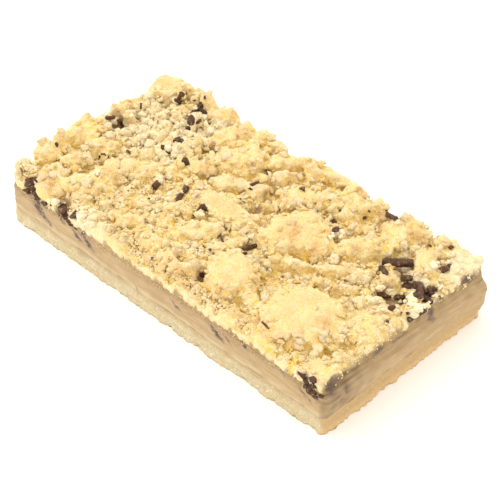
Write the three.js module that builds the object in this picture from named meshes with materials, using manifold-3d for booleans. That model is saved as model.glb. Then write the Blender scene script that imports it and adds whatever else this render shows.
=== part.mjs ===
// A slice cut from a tray bake: a pale biscuit base, a smooth set filling and a lumpy crumble top.
// Millimetres, +Z up. X runs along the slice, Y across it, and the origin is under its middle.

import * as THREE from 'three';
import { mergeVertices } from 'three/addons/utils/BufferGeometryUtils.js';
import Module from 'manifold-3d';

// The cut slice and its three layers. Neighbouring layers keep a hair's gap.
const LENGTH = 125;
const WIDTH = 64.4;
const BASE_TOP = 5.6;
const FILLING_TOP = 12.6;
const CRUMBLE_TOP = 17.6;
const LAYER_GAP = 0.3;

// The cut outline wanders a little, and its corners are worn round.
const CORNER = 2.4;
const CUT_STEP = 3;
const BASE_WANDER = 0.45;
const FILLING_WANDER = 0.25;
const CRUMBLE_WANDER = 0.7;
const WORN_EDGE = 0.9;
const FILLING_DRAWN_IN = 0.2;

// The crumble's surface: its pitch, the softening of its steps and the small crumbs.
const SURFACE_PITCH = 2;
const SIDE_BANDS = 4;
const SOFTENING = 1;
const CRUMB_PITCH = 4.3;
const CRUMB_RADIUS = [1.8, 3.1];
const CRUMB_RISE = [0.5, 1.9];
const CRUMB_ON_LUMP = 0.4;
const LUMP_ROUNDNESS = 0.7;
const PIT_FLOOR = FILLING_TOP + 2.2;

// The crumble's side: drawn in at its foot, full half way up (most at the -X end) and fallen
// back at the rim.
const SIDE_WIDTH = 6;
const FOOT_SET_BACK = 0.7;
const SIDE_BULGE = 0.5;
const END_BULGE = 1.1;
const RIM_SET_BACK = 1.3;
const RIM_FALL = 1.6;
const RIM_WIDTH = 3.5;
const SIDE_TWIST = 5;

// The large lumps, as [x, y, half length, half width, rise, turn in degrees].
const LUMPS = [
  [43, -20, 13, 11.5, 6, -45],
  [54, -9.5, 7, 6.5, 3.2, 45],
  [18.5, -20, 8.5, 7, 5.6, -45],
  [19, 3, 10.5, 8.5, 6, 45],
  [24.5, -7, 8, 3.5, 3.2, 38],
  [37, 2, 9.5, 3, 3, 33],
  [34, 12, 7.5, 5, 4.5, 40],
  [-5.5, -2, 13.5, 4.5, 3.4, -3],
  [-2, -13, 6, 4, 3.8, 45],
  [8, -11, 6, 2.8, 3.2, 68],
  [-14, -10, 5, 3, 2.8, 45],
  [6.5, 17, 5.5, 4.5, 4, 45],
  [-3, 19, 3.5, 3, 4.2, 45],
  [-4, 11.5, 4, 3.5, 3.4, 40],
  [-13, 7, 4, 3.5, 3.2, 45],
  [-26, 22.5, 7.5, 5, 4.2, 45],
  [-17, 17, 8, 6.5, 4, 45],
  [-24, 4.5, 7, 4, 3.8, 45],
  [-31, -4, 7, 3.2, 3.2, 70],
  [-38, -10, 6, 5, 3.6, 60],
  [-41.5, -23, 8, 5, 3.8, 40],
  [-50, -28.5, 4.2, 3.4, 3.8, -45],
  [-50, -6.5, 5.5, 4.5, 3.8, 45],
  [-51.5, -16, 5, 4, 2.8, 45],
  [-59.5, -19, 4.6, 4, 4.4, 45],
  [-59.5, -6.5, 5.5, 4.6, 4.4, 45],
  [-60.5, -28.5, 3.4, 3, 4.2, 45],
  [-58.5, 27, 7.5, 5.5, 4.2, 24],
  [-52, 29.5, 4, 3.2, 2.8, 26],
  [-35, 29, 6, 3.8, 3, 30],
  [-19, 28.5, 6, 4.2, 3.4, 20],
  [-6, 26, 5.5, 4, 3.6, 45],
  [5, 28, 5.5, 4.2, 3.2, 20],
  [19, 27, 8, 4.6, 3.8, -45],
  [27, 27, 3.8, 3.4, 2.8, 30],
  [37.5, 24, 6, 5, 3.8, 45],
  [41, 28, 5, 3.2, 2.6, 40],
  [51, 20, 5, 4, 3, -45],
  [57, 27, 4.6, 4.4, 2.8, 45],
  [57, 8.5, 3.2, 2.6, 2.2, 45],
  [50, -1, 5, 3, 2.6, 20],
  [5.5, -26, 5, 3.2, 2.6, 30],
  [-22, -25, 5.5, 4.2, 2.4, 20],
  [30, -28, 6, 3.6, 2, 10],
];

// Gaps in the crumble that open down towards the filling, as [x, y, radius].
const PITS = [
  [3.5, 3.5, 3.6],
  [8, 8.5, 2.6],
  [-56, 1.5, 3.6],
  [-54, 13.5, 2.6],
  [-36, 14, 3],
  [13.5, -8, 2.8],
  [49, 5, 4.2],
  [55.5, 2.5, 3.4],
  [47, 15.5, 3.6],
  [-54.5, -30, 2.6],
];

const wasm = await Module();
wasm.setup();

// A repeatable number from 0 to 1 for a cell of the crumb pattern.
function chance(i, j, draw) {
  const s = Math.sin(i * 127.1 + j * 311.7 + draw * 74.7) * 43758.5453;
  return s - Math.floor(s);
}

function between([low, high], share) {
  return low + (high - low) * share;
}

// Three waves that don't repeat together, from -1 to 1.
function wander(along, phase) {
  const long = Math.sin(along * 0.19 + phase);
  const middle = Math.sin(along * 0.47 + phase * 2.3);
  const short = Math.sin(along * 1.13 + phase * 4.1);
  return (long + 0.7 * middle + 0.5 * short) / 2.2;
}

// The slice's outline from above: a rectangle with worn corners, its points a step apart.
function cutOutline() {
  const x = LENGTH / 2;
  const y = WIDTH / 2;
  const path = new THREE.Path();
  path.moveTo(-x + CORNER, -y);
  path.lineTo(x - CORNER, -y);
  path.absarc(x - CORNER, -y + CORNER, CORNER, -Math.PI / 2, 0);
  path.lineTo(x, y - CORNER);
  path.absarc(x - CORNER, y - CORNER, CORNER, 0, Math.PI / 2);
  path.lineTo(-x + CORNER, y);
  path.absarc(-x + CORNER, y - CORNER, CORNER, Math.PI / 2, Math.PI);
  path.lineTo(-x, -y + CORNER);
  path.absarc(-x + CORNER, -y + CORNER, CORNER, Math.PI, 1.5 * Math.PI);
  const count = Math.round(path.getLength() / CUT_STEP);
  const points = path.getSpacedPoints(count).slice(0, -1);
  return new THREE.Shape(points);
}

// Pushes a point of the cut side in or out across its nearest edges.
function pushOut(point, distance) {
  point.x *= 1 + distance / (LENGTH / 2);
  point.y *= 1 + distance / (WIDTH / 2);
}

// How far round the slice a point of the cut side lies.
function wayRound(point) {
  return Math.atan2(point.y * LENGTH, point.x * WIDTH) * (LENGTH + WIDTH) / Math.PI;
}

// A layer with flat faces and a wandering cut side. profile(share) sets the side back by height.
function cutLayer(bottom, top, wandering, phase, profile) {
  const geometry = new THREE.ExtrudeGeometry(cutOutline(), {
    depth: top - bottom,
    steps: 3,
    bevelEnabled: false,
  });
  const positions = geometry.attributes.position;
  const point = new THREE.Vector3();
  for (let i = 0; i < positions.count; i += 1) {
    point.fromBufferAttribute(positions, i);
    const share = point.z / (top - bottom);
    const along = wayRound(point) + 2 * share;
    pushOut(point, wandering * wander(along, phase) - profile(share));
    positions.setXYZ(i, point.x, point.y, point.z + bottom);
  }
  return geometry;
}

// How high a lump stands above the crumble at a point, or 0 outside it.
function lumpRise(x, y, [cx, cy, halfLength, halfWidth, rise, turn]) {
  const angle = THREE.MathUtils.degToRad(turn);
  const along = (x - cx) * Math.cos(angle) + (y - cy) * Math.sin(angle);
  const across = (y - cy) * Math.cos(angle) - (x - cx) * Math.sin(angle);
  const inside = 1 - (along / halfLength) ** 2 - (across / halfWidth) ** 2;
  return inside > 0 ? rise * inside ** LUMP_ROUNDNESS : 0;
}

// The small crumbs: one in each cell of a loose grid, of its own size and place.
function crumbRise(x, y) {
  const column = Math.floor(x / CRUMB_PITCH);
  const row = Math.floor(y / CRUMB_PITCH);
  let highest = 0;
  for (let i = column - 1; i <= column + 1; i += 1) {
    for (let j = row - 1; j <= row + 1; j += 1) {
      const dx = x - (i + chance(i, j, 1)) * CRUMB_PITCH;
      const dy = y - (j + chance(i, j, 2)) * CRUMB_PITCH;
      const radius = between(CRUMB_RADIUS, chance(i, j, 3));
      const inside = 1 - (dx * dx + dy * dy) / (radius * radius);
      const rise = between(CRUMB_RISE, chance(i, j, 4));
      if (inside > 0) {
        highest = Math.max(highest, rise * Math.sqrt(inside));
      }
    }
  }
  return highest;
}

// The crumble's upper surface: the bed, its lumps and crumbs, the pits and the worn rim.
function crumbleHeight(x, y) {
  const lump = Math.max(...LUMPS.map((row) => lumpRise(x, y, row)));
  const crumb = crumbRise(x, y);
  let height = CRUMBLE_TOP + Math.max(crumb, lump + CRUMB_ON_LUMP * crumb);
  for (const [cx, cy, radius] of PITS) {
    const away = Math.hypot(x - cx, y - cy) / radius;
    const open = 1 - THREE.MathUtils.smoothstep(away, 0.45, 1);
    height += open * (PIT_FLOOR - height);
  }
  const inset = Math.min(LENGTH / 2 - Math.abs(x), WIDTH / 2 - Math.abs(y));
  const worn = 1 - THREE.MathUtils.smoothstep(inset, 0, RIM_WIDTH);
  return height - RIM_FALL * worn;
}

// The same surface with its sharpest steps softened, as the mean of a point and four round it.
function softHeight(x, y) {
  const beside = [-SOFTENING, SOFTENING];
  const around = beside.map((step) => crumbleHeight(x + step, y) + crumbleHeight(x, y + step));
  return (crumbleHeight(x, y) + around[0] + around[1]) / 5;
}

// How far the crumble's side stands out at a share of its height.
function sideReach(point, share) {
  const uneven = CRUMBLE_WANDER * wander(wayRound(point) + SIDE_TWIST * share, 2);
  const back = FOOT_SET_BACK * (1 - share) ** 2 + RIM_SET_BACK * share ** 3;
  return uneven + SIDE_BULGE * Math.sin(Math.PI * share) - back;
}

// Turns the square corners of the crumble's box to round ones.
function roundCorner(point) {
  const x = Math.max(0, Math.abs(point.x) - LENGTH / 2 + CORNER);
  const y = Math.max(0, Math.abs(point.y) - WIDTH / 2 + CORNER);
  const pull = Math.hypot(x, y) > 0 ? 1 - Math.max(x, y) / Math.hypot(x, y) : 0;
  point.x -= Math.sign(point.x) * x * pull;
  point.y -= Math.sign(point.y) * y * pull;
}

// The crumble before it is cut flat underneath, a box whose faces are moved to the real surface.
function looseCrumble(bottom) {
  const columns = Math.round(LENGTH / SURFACE_PITCH);
  const rows = Math.round(WIDTH / SURFACE_PITCH);
  const geometry = new THREE.BoxGeometry(LENGTH, WIDTH, 1, columns, rows, SIDE_BANDS);
  const positions = geometry.attributes.position;
  const point = new THREE.Vector3();
  for (let i = 0; i < positions.count; i += 1) {
    point.fromBufferAttribute(positions, i);
    const share = point.z + 0.5;
    const top = softHeight(point.x, point.y);
    const inset = Math.min(LENGTH / 2 - Math.abs(point.x), WIDTH / 2 - Math.abs(point.y));
    const nearSide = 1 - THREE.MathUtils.smoothstep(inset, 0, SIDE_WIDTH);
    const nearEnd = 1 - THREE.MathUtils.smoothstep(point.x + LENGTH / 2, 0, SIDE_WIDTH);
    const reach = nearSide * sideReach(point, share);
    roundCorner(point);
    pushOut(point, reach);
    point.x -= nearEnd * END_BULGE * Math.sin(Math.PI * share);
    positions.setXYZ(i, point.x, point.y, bottom + share * (top - bottom));
  }
  return geometry;
}

// A closed geometry as a solid that can be cut.
function solidOf(geometry) {
  geometry.deleteAttribute('normal');
  geometry.deleteAttribute('uv');
  const welded = mergeVertices(geometry);
  const vertProperties = new Float32Array(welded.attributes.position.array);
  const triVerts = new Uint32Array(welded.index.array);
  return new wasm.Manifold(new wasm.Mesh({ numProp: 3, vertProperties, triVerts }));
}

function geometryOf(solid) {
  const mesh = solid.getMesh();
  const geometry = new THREE.BufferGeometry();
  geometry.setAttribute('position', new THREE.BufferAttribute(mesh.vertProperties, 3));
  geometry.setIndex(new THREE.BufferAttribute(mesh.triVerts, 1));
  geometry.computeVertexNormals();
  return geometry;
}

// The crumble lies flat on the filling, so everything under that level is cut away.
function cutCrumble() {
  const bottom = FILLING_TOP + LAYER_GAP;
  const depth = 4;
  const slab = new THREE.BoxGeometry(2 * LENGTH, 2 * WIDTH, depth);
  slab.translate(0, 0, bottom - depth / 2);
  const crumble = solidOf(looseCrumble(bottom - 1));
  return geometryOf(crumble.subtract(solidOf(slab)));
}

function layer(name, geometry, color, roughness) {
  const material = new THREE.MeshStandardMaterial({ color, roughness, metalness: 0 });
  const mesh = new THREE.Mesh(geometry, material);
  mesh.name = name;
  return mesh;
}

// The base: worn round at its lower edge, where it met the tin's paper.
function base() {
  const worn = (share) => WORN_EDGE * (1 - share) ** 3;
  return layer('base', cutLayer(0, BASE_TOP, BASE_WANDER, 0, worn), '#e8d09a', 0.9);
}

// The filling: set smooth, cut clean, and drawn in a little at its middle.
function filling() {
  const drawnIn = (share) => FILLING_DRAWN_IN * Math.sin(Math.PI * share);
  const bottom = BASE_TOP + LAYER_GAP;
  return layer('filling', cutLayer(bottom, FILLING_TOP, FILLING_WANDER, 1, drawnIn), '#d8b586', 0.5);
}

function crumble() {
  return layer('crumble', cutCrumble(), '#f3d896', 0.95);
}

const slice = new THREE.Group();
slice.add(base(), filling(), crumble());

export default slice;
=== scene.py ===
"""A slice of crumble-topped tray bake: biscuit base, smooth filling, crumble and dark chocolate.

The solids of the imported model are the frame. Each layer gets a finely modelled piece in its place,
and the crumble becomes a bed with lumps, crumbs, grains and chocolate settled on it.
"""

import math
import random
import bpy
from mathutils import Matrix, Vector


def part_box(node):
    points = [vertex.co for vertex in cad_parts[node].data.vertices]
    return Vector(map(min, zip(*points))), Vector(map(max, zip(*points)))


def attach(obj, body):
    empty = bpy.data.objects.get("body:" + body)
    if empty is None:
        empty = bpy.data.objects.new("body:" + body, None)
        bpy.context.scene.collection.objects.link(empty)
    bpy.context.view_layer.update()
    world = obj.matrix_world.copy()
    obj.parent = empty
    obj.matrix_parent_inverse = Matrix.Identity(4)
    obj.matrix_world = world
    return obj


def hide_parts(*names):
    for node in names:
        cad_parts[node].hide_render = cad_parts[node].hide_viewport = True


bl_info = {
    "name": "Crumble Slice",
    "version": (1, 0, 0),
    "blender": (4, 5, 0),
    "location": "View3D > Sidebar > Crumble Slice",
    "description": "Builds a slice of crumble-topped tray bake and a plain studio for it",
    "category": "Mesh",
}

import bmesh
import bpy
import numpy as np
from bpy.props import FloatProperty, FloatVectorProperty, IntProperty, PointerProperty
from bpy.types import Operator, Panel, PropertyGroup
from mathutils import Euler, Matrix, Vector, noise
from mathutils.bvhtree import BVHTree

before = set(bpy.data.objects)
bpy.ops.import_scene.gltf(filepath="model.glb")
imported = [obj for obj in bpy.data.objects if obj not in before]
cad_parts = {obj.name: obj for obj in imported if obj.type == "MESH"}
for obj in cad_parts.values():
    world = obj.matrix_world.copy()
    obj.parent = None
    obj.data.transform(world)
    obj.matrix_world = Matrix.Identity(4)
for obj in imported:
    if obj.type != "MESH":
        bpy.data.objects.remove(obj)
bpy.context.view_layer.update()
BASE_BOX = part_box("base")
FILLING_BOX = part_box("filling")
CRUMBLE_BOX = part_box("crumble")

MM = 0.001
BODY = "root"
BED_FLOOR = 12.95 * MM
# Half the cut block's length and width, in millimetres.
HALF_LENGTH, HALF_WIDTH = 62.5, 32.2
# How far blobs are squashed.
SQUASH = 0.85
# The crumble's layers of pieces that others settle on.
CRUMBLE_PIECES = ["crumble_mass", "crumble_crumbs", "crumble_grains"]

# Where the crumble's lumps lie, in millimetres: x, y, half length, half width, the dome's height
# above its middle, the middle's height, the turn in degrees and how knobbly the lump is (0 to 1).
LUMPS = [
    # The near right corner and its torn side.
    (42.4, -19.3, 12.3, 11.3, 7.2, 16.5, 45, 0.1),
    (55.6, -10.0, 7.2, 6.4, 4.6, 15.6, 45, 0.9),
    (37.3, -29.0, 3.3, 2.3, 1.5, 18.0, -12, 0.0),
    (28.1, -29.4, 4.8, 2.1, 3.0, 16.0, 32, 0.7),
    (27.3, -23.0, 2.8, 2.7, 3.0, 17.0, 45, 0.6),
    (57.0, -29.0, 6.5, 4.0, 1.2, 15.6, 0, 0.1),
    # The two domes in the middle and the folds round them.
    (17.7, -20.2, 8.7, 7.0, 6.6, 17.0, -45, 0.2),
    (18.8, 3.3, 10.2, 8.5, 6.6, 17.5, 45, 0.25),
    (24.1, -6.5, 7.1, 1.9, 4.0, 17.0, 38, 0.5),
    (37.0, 2.6, 9.0, 1.6, 3.0, 17.5, 33, 0.4),
    (34.1, 11.9, 7.1, 3.5, 4.5, 17.5, 45, 0.6),
    (-2.0, -13.0, 5.8, 3.0, 4.0, 17.5, 45, 0.8),
    (-14.2, -10.3, 4.2, 1.8, 3.0, 17.5, 45, 0.8),
    (8.1, -11.0, 5.5, 1.8, 3.0, 18.0, 70, 0.2),
    (-5.3, -1.6, 13.4, 4.2, 3.5, 17.5, -3, 0.05),
    # The far side.
    (6.4, 16.9, 5.1, 4.0, 4.0, 17.5, 45, 0.7),
    (11.6, 20.6, 2.6, 1.9, 2.5, 18.0, 45, 0.4),
    (14.9, 22.8, 2.6, 2.3, 3.5, 17.5, 45, 0.5),
    (21.3, 20.4, 2.3, 1.0, 2.5, 17.5, 45, 0.3),
    (4.5, 29.6, 4.9, 3.0, 4.6, 16.8, 45, 0.9),
    (18.9, 27.8, 8.0, 3.8, 4.0, 17.5, -45, 0.6),
    (26.5, 28.8, 2.8, 2.6, 4.0, 17.5, 45, 0.5),
    (35.6, 30.4, 3.9, 1.9, 2.0, 17.5, 45, 0.1),
    (40.9, 27.8, 5.0, 1.8, 2.5, 18.0, 45, 0.4),
    (37.5, 23.5, 4.7, 4.4, 4.0, 17.5, 45, 0.8),
    (-6.6, 25.6, 5.3, 3.5, 4.0, 17.5, 45, 0.7),
    (-2.7, 18.9, 2.6, 2.4, 4.5, 17.5, 45, 0.4),
    (-0.6, 22.7, 2.3, 1.2, 3.0, 18.0, 45, 0.1),
    (-5.2, 15.7, 1.6, 1.4, 1.5, 19.0, 45, 0.0),
    (-3.8, 11.4, 3.2, 2.6, 3.5, 17.5, 45, 0.2),
    (-13.0, 6.8, 3.2, 2.7, 3.5, 17.5, 45, 0.5),
    (-9.1, 9.8, 2.3, 2.0, 2.5, 18.0, 45, 0.5),
    (-35.4, 30.2, 5.5, 2.5, 4.8, 17.0, 45, 0.8),
    (-19.4, 30.0, 5.1, 3.2, 4.0, 17.0, 45, 0.8),
    (-26.1, 23.2, 7.2, 3.7, 4.0, 18.0, 45, 0.6),
    (-16.8, 18.0, 7.6, 6.6, 4.0, 18.0, 45, 0.9),
    (-32.0, 11.4, 3.6, 2.9, 3.0, 17.5, 45, 0.3),
    (-24.6, 4.3, 6.4, 3.5, 3.5, 18.0, 45, 0.5),
    # The far left corner.
    (-60.0, 27.6, 6.8, 5.2, 4.8, 17.5, 24, 0.05),
    (-52.8, 30.8, 3.5, 1.9, 4.4, 17.5, 26, 0.5),
    (-46.4, 30.4, 2.6, 1.8, 4.0, 17.6, 0, 0.7),
    (-41.6, 30.2, 2.4, 1.8, 3.6, 17.0, 0, 0.8),
    # The near left corner.
    (-61.6, -28.2, 2.9, 1.7, 4.0, 17.0, 45, 0.1),
    (-50.0, -29.3, 4.1, 2.7, 3.5, 17.5, -45, 0.1),
    (-50.1, -23.5, 2.9, 2.1, 2.5, 18.0, 45, 0.3),
    (-60.2, -19.8, 4.1, 3.6, 6.2, 17.0, 45, 0.6),
    (-61.4, -13.4, 2.9, 1.8, 4.6, 18.0, 45, 0.4),
    (-60.0, -6.4, 5.2, 4.4, 5.6, 17.5, 45, 0.7),
    (-41.5, -23.3, 6.9, 4.7, 4.0, 17.5, 45, 0.5),
    (-39.1, -13.9, 4.1, 3.4, 4.0, 18.0, 45, 0.6),
    (-50.3, -6.2, 4.7, 3.6, 3.5, 18.0, 45, 0.4),
    (-51.7, -16.4, 4.1, 2.8, 3.0, 18.0, 45, 0.5),
    (-37.7, -7.3, 3.5, 3.5, 3.5, 18.0, 45, 0.4),
    (-32.1, -3.8, 6.4, 2.2, 3.0, 18.0, 72, 0.1),
    (-20.5, -23.6, 3.1, 2.5, 3.0, 18.0, 45, 0.6),
    (-27.7, -29.0, 2.8, 1.2, 3.0, 17.0, 45, 0.6),
    (-22.3, -30.2, 3.4, 1.7, 3.0, 16.5, 45, 0.6),
    # Along the front, where the crumble was cut.
    (5.5, -27.1, 4.3, 1.6, 4.0, 17.0, 45, 0.4),
    (-9.8, -25.2, 3.9, 2.4, 3.0, 17.0, 45, 0.8),
    (-16.1, -29.8, 3.9, 2.0, 3.0, 16.5, 45, 0.8),
    (-2.0, -26.8, 3.8, 2.3, 3.0, 16.5, 45, 0.8),
    # The right end, beside the bare chocolate.
    (51.0, 20.8, 4.8, 3.5, 4.5, 16.5, -45, 0.6),
    (48.1, 9.5, 2.9, 2.2, 1.5, 19.0, 85, 0.0),
    (42.2, -2.4, 3.5, 1.3, 3.0, 17.5, 45, 0.3),
    (47.7, -2.5, 1.6, 1.6, 2.0, 17.5, 45, 0.3),
    (50.7, 0.1, 2.4, 1.3, 3.0, 17.0, 45, 0.3),
    (54.8, -1.3, 2.1, 1.0, 2.5, 17.0, 45, 0.3),
    (56.9, 30.6, 3.6, 1.5, 3.2, 16.5, 45, 0.3),
    (52.8, 28.4, 3.3, 1.7, 2.5, 17.0, 45, 0.6),
    (57.4, 22.0, 4.2, 3.4, 2.8, 16.4, 45, 0.2),
    (59.4, 28.6, 4.0, 3.8, 3.2, 17.0, 45, 0.1),
    (49.0, 31.0, 3.0, 2.0, 3.6, 17.4, 0, 0.7),
    # Along the far edge.
    (-43.2, 30.4, 2.6, 2.0, 5.4, 17.6, 0, 0.6),
    (-26.4, 30.4, 2.8, 2.0, 3.2, 17.4, 0, 0.6),
    (-13.8, 30.4, 3.0, 2.0, 3.4, 17.4, 0, 0.6),
    (-1.6, 30.6, 2.8, 1.8, 3.4, 17.4, 0, 0.6),
    (9.8, 30.4, 3.0, 2.0, 4.1, 17.4, 0, 0.5),
    (40.2, 30.6, 2.6, 1.8, 3.9, 17.4, 0, 0.5),
    (56.2, 29.8, 3.6, 2.2, 3.6, 17.4, 0, 0.2),
    # Along the left end.
    (-61.4, 15.6, 2.2, 3.0, 2.4, 17.4, 0, 0.9),
    (-61.0, 8.6, 2.2, 3.4, 3.8, 17.4, 0, 0.9),
    (-60.6, 2.0, 2.6, 3.6, 3.0, 17.6, 0, 0.8),
]

# Browned spots on the lumps: x, y, radius and strength.
BROWNED = [
    (-48.4, -29.9, 3.2, 0.9), (-36.7, -15.1, 4.0, 0.8), (-49.5, -6.4, 4.5, 0.8),
    (-61.8, -3.9, 4.0, 0.6), (-45.8, -16.3, 3.0, 0.6), (-19.9, 6.7, 4.5, 0.7),
    (-23.9, 24.4, 5.0, 0.8), (19.0, 0.8, 6.0, 1.0), (27.0, 2.0, 4.0, 1.0), (21.0, -1.0, 8.5, 0.5),
    (17.2, -16.9, 4.5, 0.5), (49.6, -19.4, 5.0, 0.9), (49.2, -10.2, 2.6, 0.8),
    (20.0, 29.8, 4.0, 0.8), (42.3, 26.6, 4.4, 1.0), (29.3, 27.7, 3.0, 0.7),
    (6.8, -29.4, 4.0, 0.8), (-4.3, 14.8, 1.6, 0.5), (-35.8, 16.8, 1.8, 0.8),
    (-12.0, -5.0, 4.0, 0.4), (-42.0, -25.0, 4.0, 0.4), (34.0, 11.0, 4.0, 0.4),
]

# Places where the crumble is thin and the filling shows: x, y and radius.
BARE = [
    (0.6, 6.2, 3.0), (0.5, 11.2, 2.0), (-58.6, 5.9, 3.4), (-53.5, 4.8, 2.4),
    (-33.4, 19.0, 2.4), (-27.8, 15.6, 2.8), (54.2, 5.1, 4.2), (50.5, 4.0, 3.2),
    (49.0, 13.0, 3.4), (57.5, 12.0, 3.6), (45.0, 16.5, 4.0), (10.2, -24.7, 2.2),
    (9.0, 8.8, 2.2), (24.0, 15.5, 2.0), (-54.0, -31.0, 3.0), (-40.0, -31.0, 3.0),
]

# Chocolate, as x, y where the camera sees it against the crumble's top level. Sticks are two ends
# and a thickness; chunks are a middle, half length, half width and turn in degrees.
STICKS = [
    # The far left, among the fine crumbs.
    (-61.6, 4.5, -60.2, 6.7, 1.2), (-58.9, 6.6, -56.2, 6.2, 0.7), (-56.2, 6.2, -54.5, 5.0, 0.9),
    (-60.1, 17.5, -57.6, 15.2, 0.7), (-47.5, 30.7, -44.5, 28.5, 1.0),
    (-48.6, 33.6, -47.3, 32.6, 0.8),
    (-53.0, 26.2, -54.2, 28.8, 1.2), (-45.8, 29.2, -43.4, 27.4, 0.9),
    (-43.4, 27.4, -41.6, 27.6, 0.8),
    (-48.6, -9.6, -49.1, -7.9, 0.8), (-49.1, -7.7, -46.4, -7.8, 0.8),
    (-45.1, -1.8, -43.6, -1.6, 0.7),
    # The middle.
    (-26.4, -8.6, -27.2, -5.4, 2.0), (-17.5, -7.5, -19.8, -1.4, 1.6),
    (-8.4, -9.2, -10.7, -3.9, 1.4),
    (-10.7, -3.9, -8.2, -4.4, 1.4), (1.8, -9.4, 4.6, -11.0, 0.7), (10.0, -7.4, 8.8, -5.0, 0.7),
    (10.9, -9.5, 12.4, -5.6, 1.3), (-8.9, 20.4, -7.6, 19.1, 0.6), (-7.3, 12.2, -6.8, 15.0, 1.1),
    (34.7, -26.4, 37.8, -27.0, 0.6), (29.2, 29.7, 32.4, 29.9, 1.5),
    # The right end, side by side in the bare patch.
    (41.8, 13.2, 48.2, 18.8, 2.4), (43.2, 11.2, 45.4, 10.4, 1.7), (49.6, 11.8, 51.8, 14.0, 1.7),
    (54.4, 13.4, 57.6, 10.6, 1.9), (57.2, 14.8, 60.0, 12.2, 1.8), (49.2, 2.6, 52.4, 4.6, 1.3),
    (61.6, 0.6, 62.2, 7.0, 1.6),
]
CHUNKS = [
    # The hole in the near left corner and the two pieces beside it.
    (-54.8, -30.8, 1.6, 1.3, 0), (-53.4, -29.8, 1.1, 0.9, 0), (-52.5, -32.2, 2.0, 1.6, 30),
    (-50.8, -32.6, 1.9, 1.5, 60), (-51.4, -34.4, 1.7, 1.3, 0), (-48.8, -33.6, 2.0, 1.5, 20),
    (-46.8, -34.4, 2.2, 1.3, 10), (-44.0, -34.6, 2.0, 1.0, 0), (-41.4, -34.0, 0.8, 0.6, 0),
    (-37.3, -33.4, 1.9, 1.6, 0), (-35.8, -34.0, 2.2, 1.7, -30), (-33.9, -34.7, 2.0, 1.4, -20),
    (-34.2, -31.4, 1.5, 1.1, 60), (-33.0, -32.8, 1.5, 1.1, 60), (-31.4, -35.3, 1.4, 0.9, 0),
    (-28.7, -35.6, 1.1, 0.7, 0),
    # The near right corner.
    (55.4, -33.2, 1.4, 1.1, 0), (56.7, -33.5, 1.4, 1.1, 30), (57.8, -34.1, 1.5, 1.2, 0),
    (59.5, -33.6, 1.1, 0.9, 0), (60.0, -35.0, 1.6, 1.2, 60), (61.5, -35.9, 1.6, 1.2, 30),
    (62.9, -36.5, 1.3, 1.0, 0), (63.9, -35.4, 0.9, 0.7, 0), (58.8, -32.8, 1.3, 1.0, 20),
    (60.6, -34.0, 1.4, 1.0, 70), (60.5, -36.1, 1.3, 0.9, 0), (58.9, -35.2, 1.1, 0.9, 40),
    (-52.6, 26.0, 1.6, 1.2, 20), (-54.4, 29.4, 1.3, 1.0, 0), (-53.6, 30.6, 0.5, 0.4, 0),
    (-49.3, 29.9, 0.6, 0.5, 0), (-42.6, 27.8, 0.9, 0.6, 0),
    (-42.3, 21.5, 2.0, 1.5, -30), (-40.6, 23.0, 1.2, 1.0, 0), (-38.7, 12.1, 2.0, 1.4, 30),
    (-37.0, 12.8, 1.3, 0.9, 0), (-38.8, 6.4, 1.1, 0.9, 0), (-28.5, 6.6, 1.7, 1.4, 20),
    (-45.0, 26.6, 1.5, 1.1, 60), (-40.2, 18.6, 1.2, 1.0, 0),
    (-62.1, -14.4, 0.9, 0.7, 0), (-23.9, -12.5, 0.5, 0.4, 0), (-12.4, -21.6, 0.7, 0.6, 0),
    (-4.2, -29.6, 0.5, 0.5, 0), (-6.6, 11.0, 0.9, 0.5, 0), (-3.3, 5.2, 0.7, 0.5, 0),
    (-5.4, 5.7, 0.4, 0.4, 0), (4.5, 21.2, 1.1, 0.8, 45), (12.5, -10.3, 0.8, 0.6, 0),
    (4.4, -15.8, 0.5, 0.5, 0), (10.2, -24.7, 1.4, 0.8, 10), (20.6, 17.0, 1.1, 0.8, 0),
    (23.4, 14.3, 1.3, 0.9, 45), (25.4, 24.2, 0.9, 0.7, 0), (24.4, 27.5, 0.7, 0.6, 0),
    (13.2, 23.4, 0.4, 0.3, 0), (27.8, 31.0, 0.4, 0.4, 0),
    (50.3, 12.7, 1.9, 1.1, 0), (53.0, 10.9, 2.0, 1.4, 30), (56.0, 11.9, 2.6, 1.9, 0),
    (58.8, 12.9, 2.4, 1.8, 60), (60.2, 10.4, 1.9, 1.4, 0), (58.8, 15.4, 1.5, 1.0, 0),
    (53.7, 5.9, 2.2, 1.2, 40), (50.4, 3.4, 1.6, 0.8, 40), (57.4, 9.8, 1.6, 1.2, 0),
    (55.6, 1.0, 1.4, 1.0, 60), (58.1, -3.3, 0.6, 0.5, 0), (55.6, 22.6, 1.8, 1.2, 30),
    (56.1, 24.6, 1.3, 0.9, 0),
    (51.2, 31.2, 1.2, 0.8, 30), (46.4, 28.0, 0.9, 0.4, 0), (59.8, 2.7, 0.6, 0.5, 0),
]

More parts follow.
